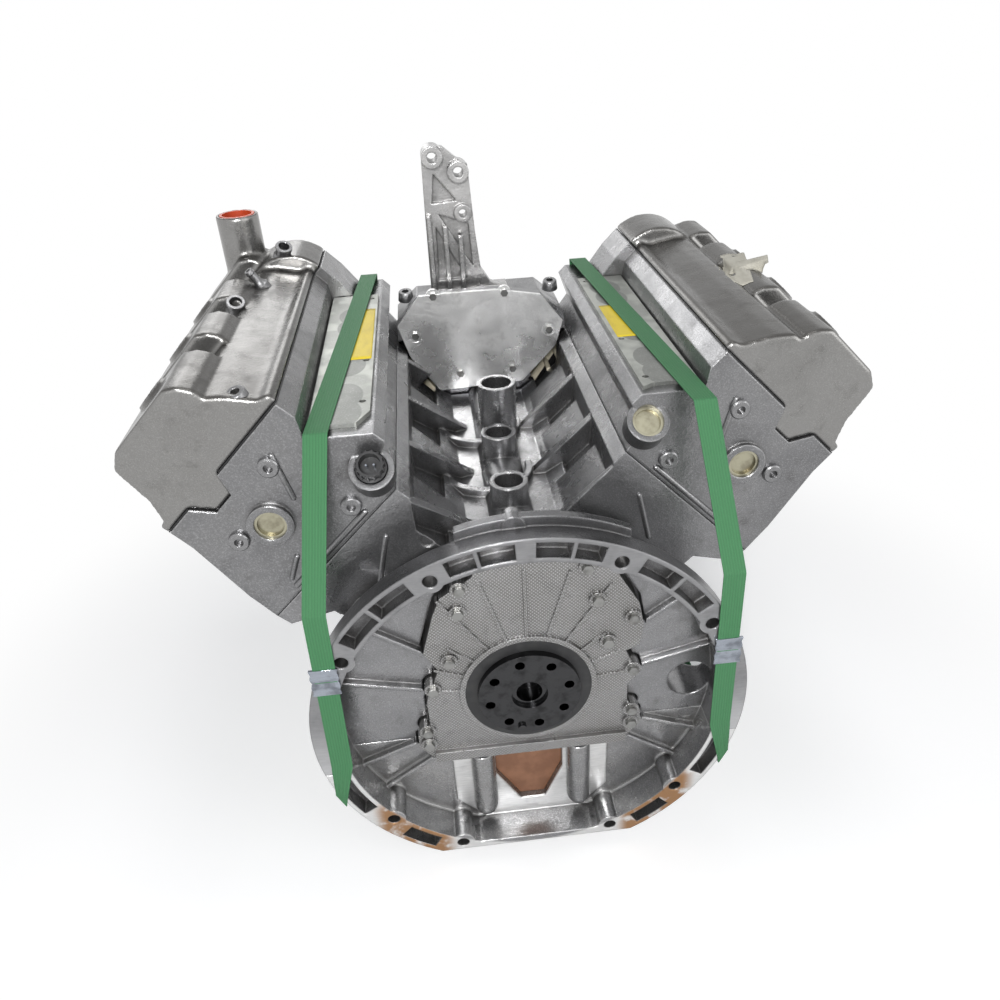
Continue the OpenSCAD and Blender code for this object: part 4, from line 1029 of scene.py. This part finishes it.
@dataclass
class Strap:
    """Woven polyester band passed round the engine and drawn tight, with its crimped clip."""

    side: Side
    clip_z: float
    width: float = 20 * MM
    thick: float = 0.9 * MM
    bend: float = 2.0 * MM
    ring_r: float = 209 * MM
    ring_z: float = -17 * MM
    low_z: float = -99 * MM
    front_y: float = -1.8 * MM
    spacing: float = 25 * MM
    bend_steps: int = 4
    clip_x: float = 182.5 * MM
    clip_size: Point = (26 * MM, 3.2 * MM, 30 * MM)
    crimp_pitch: float = 11 * MM

    def route(self) -> list[tuple[Vector, float]]:
        """Corners of the band's closed path.

        Returns:
            Each corner's place and the tilt of the band's width in degrees, for the right bank.
        """
        low_x = math.sqrt(self.ring_r ** 2 - (self.low_z - self.ring_z) ** 2)
        tilt = -math.degrees(math.atan2(low_x, self.ring_z - self.low_z))
        head = [((161, 58, 272.8), 0), ((131, 486.5, 274.6), 0), ((147, 485.6, 8), -20),
                ((151.8, 487, -7), -51)]
        corners = [(Vector(p) * MM, float(a)) for p, a in head]
        corners.append((Vector((low_x, 54 * MM, self.low_z)), tilt))
        corners.append((Vector((low_x, self.front_y, self.low_z)), tilt))
        corners.append((Vector((184 * MM, self.front_y, -50 * MM)), 0.0))
        corners.append((Vector((180 * MM, self.front_y, 134 * MM)), 0.0))
        return corners

    def path(self) -> list[tuple[Vector, float]]:
        """The route with its corners rounded.

        Returns:
            Places and tilts along the band.
        """
        corners = self.route()
        made = []
        for k, (here, tilt) in enumerate(corners):
            before, after = corners[k - 1], corners[(k + 1) % len(corners)]
            start = here + (before[0] - here).normalized() * self.bend
            end = here + (after[0] - here).normalized() * self.bend
            for step in range(self.bend_steps + 1):
                done = step / self.bend_steps
                left = 1 - done
                place = start * left ** 2 + here * (2 * done * left) + end * done ** 2
                made.append((place, tilt))
            gap = (after[0] - end).length
            for step in range(1, int(gap / self.spacing)):
                done = step * self.spacing / gap
                made.append((end.lerp(after[0], done), tilt + (after[1] - tilt) * done))
        return made

    def band(self, finish: bpy.types.Material) -> bpy.types.Object:
        """Makes the band.

        Args:
            finish: Its material.

        Returns:
            The piece.
        """
        path = self.path()
        rows, columns = len(path), 4
        mesh = bmesh.new()
        weave = mesh.loops.layers.uv.new("band")
        made = bmesh.ops.create_grid(mesh, x_segments=columns, y_segments=rows, size=0.5)["verts"]
        ordered = sorted(made, key=lambda v: (v.co.y, v.co.x))
        length, run = [0.0], 0.0
        for (p, _), (q, _) in zip(path, path[1:] + path[:1]):
            run += (q - p).length
            length.append(run)
        spots = {}
        for row in range(rows + 1):
            place, tilt = path[row % rows]
            across = Vector((math.cos(math.radians(tilt)), 0, -math.sin(math.radians(tilt))))
            for column in range(columns + 1):
                vert = ordered[row * (columns + 1) + column]
                share = column / columns - 0.5
                vert.co = place + across * (share * self.width)
                vert.co.x *= self.side.value
                spots[vert] = (length[row], share * self.width)
        for face in mesh.faces:
            for loop in face.loops:
                loop[weave].uv = spots[loop.vert]
        bmesh.ops.remove_doubles(mesh, verts=mesh.verts, dist=0.05 * MM)
        bmesh.ops.recalc_face_normals(mesh, faces=mesh.faces)
        piece = new_piece(f"woven_strap_{self.side.name.lower()}", mesh, finish)
        thicken(piece, self.thick, 0.0)
        smooth_faces(piece, 50)
        return piece

    def clip(self, finish: bpy.types.Material) -> bpy.types.Object:
        """Makes the crimped clip that holds the band's ends.

        Args:
            finish: Its material.

        Returns:
            The piece.
        """
        mesh = bmesh.new()
        bmesh.ops.create_cube(mesh, size=1.0)
        bmesh.ops.scale(mesh, verts=mesh.verts, vec=self.clip_size)
        upright = [e for e in mesh.edges if abs((e.verts[0].co - e.verts[1].co).z) > MM]
        bmesh.ops.subdivide_edges(mesh, edges=upright, cuts=11, use_grid_fill=True)
        for vert in mesh.verts:
            crimp = max(0.0, math.cos(vert.co.z * 2 * math.pi / self.crimp_pitch)) ** 2
            vert.co.x *= 1.0 - 0.07 * crimp
            vert.co.y *= 1.0 - 0.45 * crimp
        inner = [e for e in mesh.edges if len(e.link_faces) == 2]
        long_edges = [e for e in inner if e.calc_face_angle(0) > 1.2]
        bmesh.ops.bevel(mesh, geom=long_edges, offset=0.8 * MM, segments=2, profile=0.5,
                        material=-1, affect="EDGES")
        bmesh.ops.translate(mesh, verts=mesh.verts,
                            vec=(self.side.value * self.clip_x, self.front_y, self.clip_z))
        piece = new_piece(f"strap_clip_{self.side.name.lower()}", mesh, finish)
        smooth_faces(piece, 35)
        return piece


@dataclass
class Sticker:
    """Thin sheet laid on a face of the part. Its centre is in millimetres."""

    name: str
    centre: Point
    along: Point
    normal: Point
    size: tuple[float, float]
    target: str
    lift: float = 0.12 * MM
    thick: float = 0.15 * MM
    start: float = 4 * MM
    reach: float = 20 * MM

    def build(self, finish: bpy.types.Material) -> bpy.types.Object:
        """Makes the sheet and presses it onto its face.

        Args:
            finish: Its material.

        Returns:
            The piece.
        """
        along = Vector(self.along).normalized()
        up = Vector(self.normal).normalized()
        across = up.cross(along).normalized()
        along = across.cross(up)
        mesh = bmesh.new()
        bmesh.ops.create_grid(mesh, x_segments=16, y_segments=16, size=0.5)
        bmesh.ops.scale(mesh, verts=mesh.verts, vec=(self.size[0], self.size[1], 1))
        turn = Matrix((along, across, up)).transposed().to_4x4()
        bmesh.ops.transform(mesh, verts=mesh.verts, matrix=turn)
        hover = up * self.start
        bmesh.ops.translate(mesh, verts=mesh.verts, vec=Vector(self.centre) * MM + hover)
        tree = BVHTree.FromObject(bpy.data.objects[self.target],
                                  bpy.context.evaluated_depsgraph_get())
        for vert in mesh.verts:
            found = tree.ray_cast(vert.co, -up, self.reach)[0]
            vert.co = (found if found is not None else vert.co - hover) + up * self.lift
        bmesh.ops.smooth_vert(mesh, verts=mesh.verts, factor=0.3, use_axis_x=True, use_axis_y=True,
                              use_axis_z=True)
        piece = new_piece(self.name, mesh, finish)
        thicken(piece, self.thick, 1.0)
        piece.data.shade_smooth()
        return piece


@dataclass
class Sensor:
    """Ribbed plug socket of the coolant sensor and its pins. Its place is in millimetres."""

    place: Point = (-120, 52.5, 240)
    tilt: float = 45.0
    outer: float = 13.4 * MM
    inner: float = 9.0 * MM
    depth: float = 13 * MM
    ribs: int = 14

    def build(self, shell: bpy.types.Material,
              metal: bpy.types.Material) -> list[bpy.types.Object]:
        """Makes the socket and its pins.

        Args:
            shell: Material of the socket.
            metal: Material of the pins.

        Returns:
            The pieces.
        """
        body, pins = bmesh.new(), bmesh.new()
        wall, foot = self.outer - 2.4 * MM, self.outer - 0.2 * MM
        outline = [(self.inner, 6), (self.inner, 13), (wall, 13), (wall, 3), (foot, 2),
                   (foot, -11.5), (0, -11.5), (0, 2), (self.inner, 2)]
        spin_outline(body, [(r, h * MM) for r, h in outline], 48)
        for k in range(self.ribs):
            turn = Matrix.Rotation(2 * math.pi * k / self.ribs, 4, "Z")
            shift = Matrix.Translation((self.outer - 2.0 * MM, 0, 7.8 * MM))
            made = bmesh.ops.create_cube(body, size=1.0)["verts"]
            bmesh.ops.scale(body, verts=made, vec=(1.6 * MM, 1.5 * MM, 10 * MM))
            bmesh.ops.transform(body, verts=made, matrix=turn @ shift)
        for x in (-3.2 * MM, 3.2 * MM):
            bmesh.ops.create_cone(pins, cap_ends=True, segments=16, radius1=1.1 * MM,
                                  radius2=0.9 * MM, depth=9 * MM,
                                  matrix=Matrix.Translation((x, 0, 6 * MM)))
        lean = Matrix.Rotation(math.radians(self.tilt), 4, "X")
        seat = Matrix.Translation(Vector(self.place) * MM) @ lean
        made = []
        for name, mesh, finish in (("sensor_socket", body, shell), ("sensor_pins", pins, metal)):
            bmesh.ops.recalc_face_normals(mesh, faces=mesh.faces)
            bmesh.ops.transform(mesh, verts=mesh.verts, matrix=seat)
            piece = new_piece(name, mesh, finish)
            smooth_faces(piece, 35)
            made.append(piece)
        return made


@dataclass(frozen=True)
class Fitting:
    """Turned piece on a casting, an outline in millimetres spun about its own axis."""

    name: str
    place: Point
    aim: Point
    outline: tuple[tuple[float, float], ...]
    steps: int = 40

    def build(self, finish: bpy.types.Material) -> bpy.types.Object:
        """Makes the piece.

        Args:
            finish: Its material.

        Returns:
            The piece.
        """
        mesh = bmesh.new()
        spin_outline(mesh, [(r * MM, h * MM) for r, h in self.outline], self.steps)
        bmesh.ops.recalc_face_normals(mesh, faces=mesh.faces)
        turn = Vector(self.aim).to_track_quat("Z", "Y").to_matrix().to_4x4()
        bmesh.ops.transform(mesh, verts=mesh.verts,
                            matrix=Matrix.Translation(Vector(self.place) * MM) @ turn)
        piece = new_piece(self.name, mesh, finish)
        smooth_faces(piece, 32)
        return piece


def bank_point(side: Side, h: float, t: float, y: float) -> Point:
    """Place of a point given along a bank.

    Args:
        side: The bank.
        h: Distance from the crank along the bores in millimetres.
        t: Distance toward the valley in millimetres.
        y: Place along the engine in millimetres.

    Returns:
        The place in millimetres.
    """
    half = math.sqrt(0.5)
    return (side.value * (h - t) * half, y, (h + t) * half)


def bead(name: str, start: Point, end: Point, size: float) -> Fitting:
    """Lays out a round cast rib with rounded ends.

    Args:
        name: Name of the piece.
        start: One end of its axis in millimetres.
        end: The other end.
        size: Its radius in millimetres.

    Returns:
        The rib.
    """
    way = Vector(end) - Vector(start)
    length = way.length
    outline = [(0.0, -size), (size * 0.5, -size * 0.87), (size * 0.87, -size * 0.5), (size, 0.0)]
    outline += [(size, length), (size * 0.87, length + size * 0.5),
                (size * 0.5, length + size * 0.87)]
    outline.append((0.0, length + size))
    return Fitting(name, start, tuple(way), tuple(outline), 20)


def head_relief(side: Side, rear_y: float) -> list[Fitting]:
    """Ribs and bosses cast on the rear face of a head.

    Args:
        side: The bank.
        rear_y: Place of the face in millimetres.

    Returns:
        The ribs and bosses.
    """
    word = side.name.lower()
    boss = ((0, -5), (10, -5), (9, 3.4), (7.8, 4.4), (4, 4.4), (4, -2), (0, -2))
    runs = (("deck", (230, -56), (230, 44), 3.0), ("slant", (285, 18), (322, 40), 2.6),
            ("brace", (248, -30), (238, -52), 2.6))
    made = [bead(f"head_rib_{key}_{word}", bank_point(side, *a, rear_y),
                 bank_point(side, *b, rear_y), r)
            for key, a, b, r in runs]
    for k, (h, t) in enumerate(((318, 30), (243, 42), (296, -46))):
        made.append(Fitting(f"head_rear_boss_{word}_{k + 1}", bank_point(side, h, t, rear_y),
                            (0, -1, 0), boss))
    return made


def fittings() -> list[Fitting]:
    """Small turned pieces of the cam covers and heads.

    Returns:
        The fittings.
    """
    stub = ((0, -5), (10.5, -5), (10.5, 2), (8.6, 4), (8.6, 12), (9.4, 13), (9.4, 15), (8.8, 16),
            (6.2, 16), (6.2, 1), (0, 1))
    boss = ((0, -5), (9.5, -5), (8.2, 5), (7.4, 6), (4.2, 6), (4.2, -2), (0, -2))
    nozzle = ((0, -5), (8, -5), (8, 3), (6, 5), (4.4, 9), (4.4, 18), (5.2, 19), (4.2, 23),
              (2.6, 23), (2.6, 6), (0, 6))
    made = [
        Fitting("vent_stub_rear", (-255, 290, 303), (0.2, -0.5, 0.85), stub),
        Fitting("vent_stub_front", (-221.5, 425, 320), (0.3, -0.45, 0.85), stub),
        Fitting("vent_nozzle", (-236, 352, 309), (-0.5, -0.2, 0.85), nozzle),
        Fitting("lifting_boss_left", (-218, 74, 304), (-0.2, -0.3, 0.95), boss),
        Fitting("head_boss_left", (-87, 430, 262), (0, -0.2, 1), boss),
        Fitting("head_boss_right", (87, 430, 262), (0, -0.2, 1), boss),
        bead("wall_rib_right", (117, 88.6, 166), (128, 88.6, 118), 2.6),
        bead("wall_rib_left", (-117, 60.6, 166), (-128, 60.6, 118), 2.6),
    ]
    return made + head_relief(Side.LEFT, 60.55) + head_relief(Side.RIGHT, 88.55)


@dataclass
class Extras:
    """Straps, clips, blank stickers, fittings and the sensor's socket."""

    def build(self) -> None:
        """Makes every piece that the CAD frame leaves to the scene."""
        web = Webbing("green_webbing").make()
        chrome = Metal("clip_steel", (0.36, 0.39, 0.44), (0.07, 0.075, 0.09), 0.12,
                       edge=0.4 * MM).make()
        yellow = Paper("yellow_label", (0.78, 0.6, 0.02), (0.62, 0.46, 0.02), 0.4,
                       0.08 * MM).make()
        masking = Paper("masking_tape", (0.55, 0.53, 0.46), (0.4, 0.38, 0.32), 0.7).make()
        black = Moulded("sensor_plastic", (0.014, 0.014, 0.015), (0.035, 0.035, 0.036),
                        0.38).make()
        for side, clip_z in ((Side.LEFT, 60 * MM), (Side.RIGHT, 46 * MM)):
            strap = Strap(side, clip_z)
            band = enroll(strap.band(web), Body.ENGINE)
            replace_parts(band, "straps")
            clip = enroll(strap.clip(chrome), Body.ENGINE)
            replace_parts(clip, "strap_seals")
        for name, x, y, size, target in (
            ("blank_label_left", -131, 287, (150 * MM, 22 * MM), "port_cover_left"),
            ("blank_label_right", 133, 262, (96 * MM, 22 * MM), "port_cover_right"),
        ):
            label = Sticker(name, (x, y, 272), (0, 1, 0), (0, 0, 1), size, target)
            enroll(label.build(yellow), Body.ENGINE)
        for name, along, size, lift in (
            ("masking_tape_long", (0.25, 1, 0), (96 * MM, 25 * MM), 0.2 * MM),
            ("masking_tape_short", (1, -0.35, 0.35), (66 * MM, 22 * MM), 0.5 * MM),
        ):
            tape = Sticker(name, (262, 284, 311), along, (-0.28, 0, 0.96), size,
                           "cover_shell_right", lift)
            enroll(tape.build(masking), Body.ENGINE)
        alloy = Casting("fitting_alloy", (0.2, 0.2, 0.204), edge=0.8 * MM, reach=6 * MM).make()
        for fitting in fittings():
            enroll(fitting.build(alloy), Body.ENGINE)
        socket, pins = Sensor().build(black, chrome)
        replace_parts(enroll(socket, Body.ENGINE), "coolant_sensor")
        enroll(pins, Body.ENGINE)


def main() -> None:
    """Builds every piece."""
    logging.basicConfig(level=logging.INFO, format="%(message)s")
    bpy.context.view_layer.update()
    Studio().build()
    LongBlock().build()
    Extras().build()


if __name__ == "__main__":
    main()
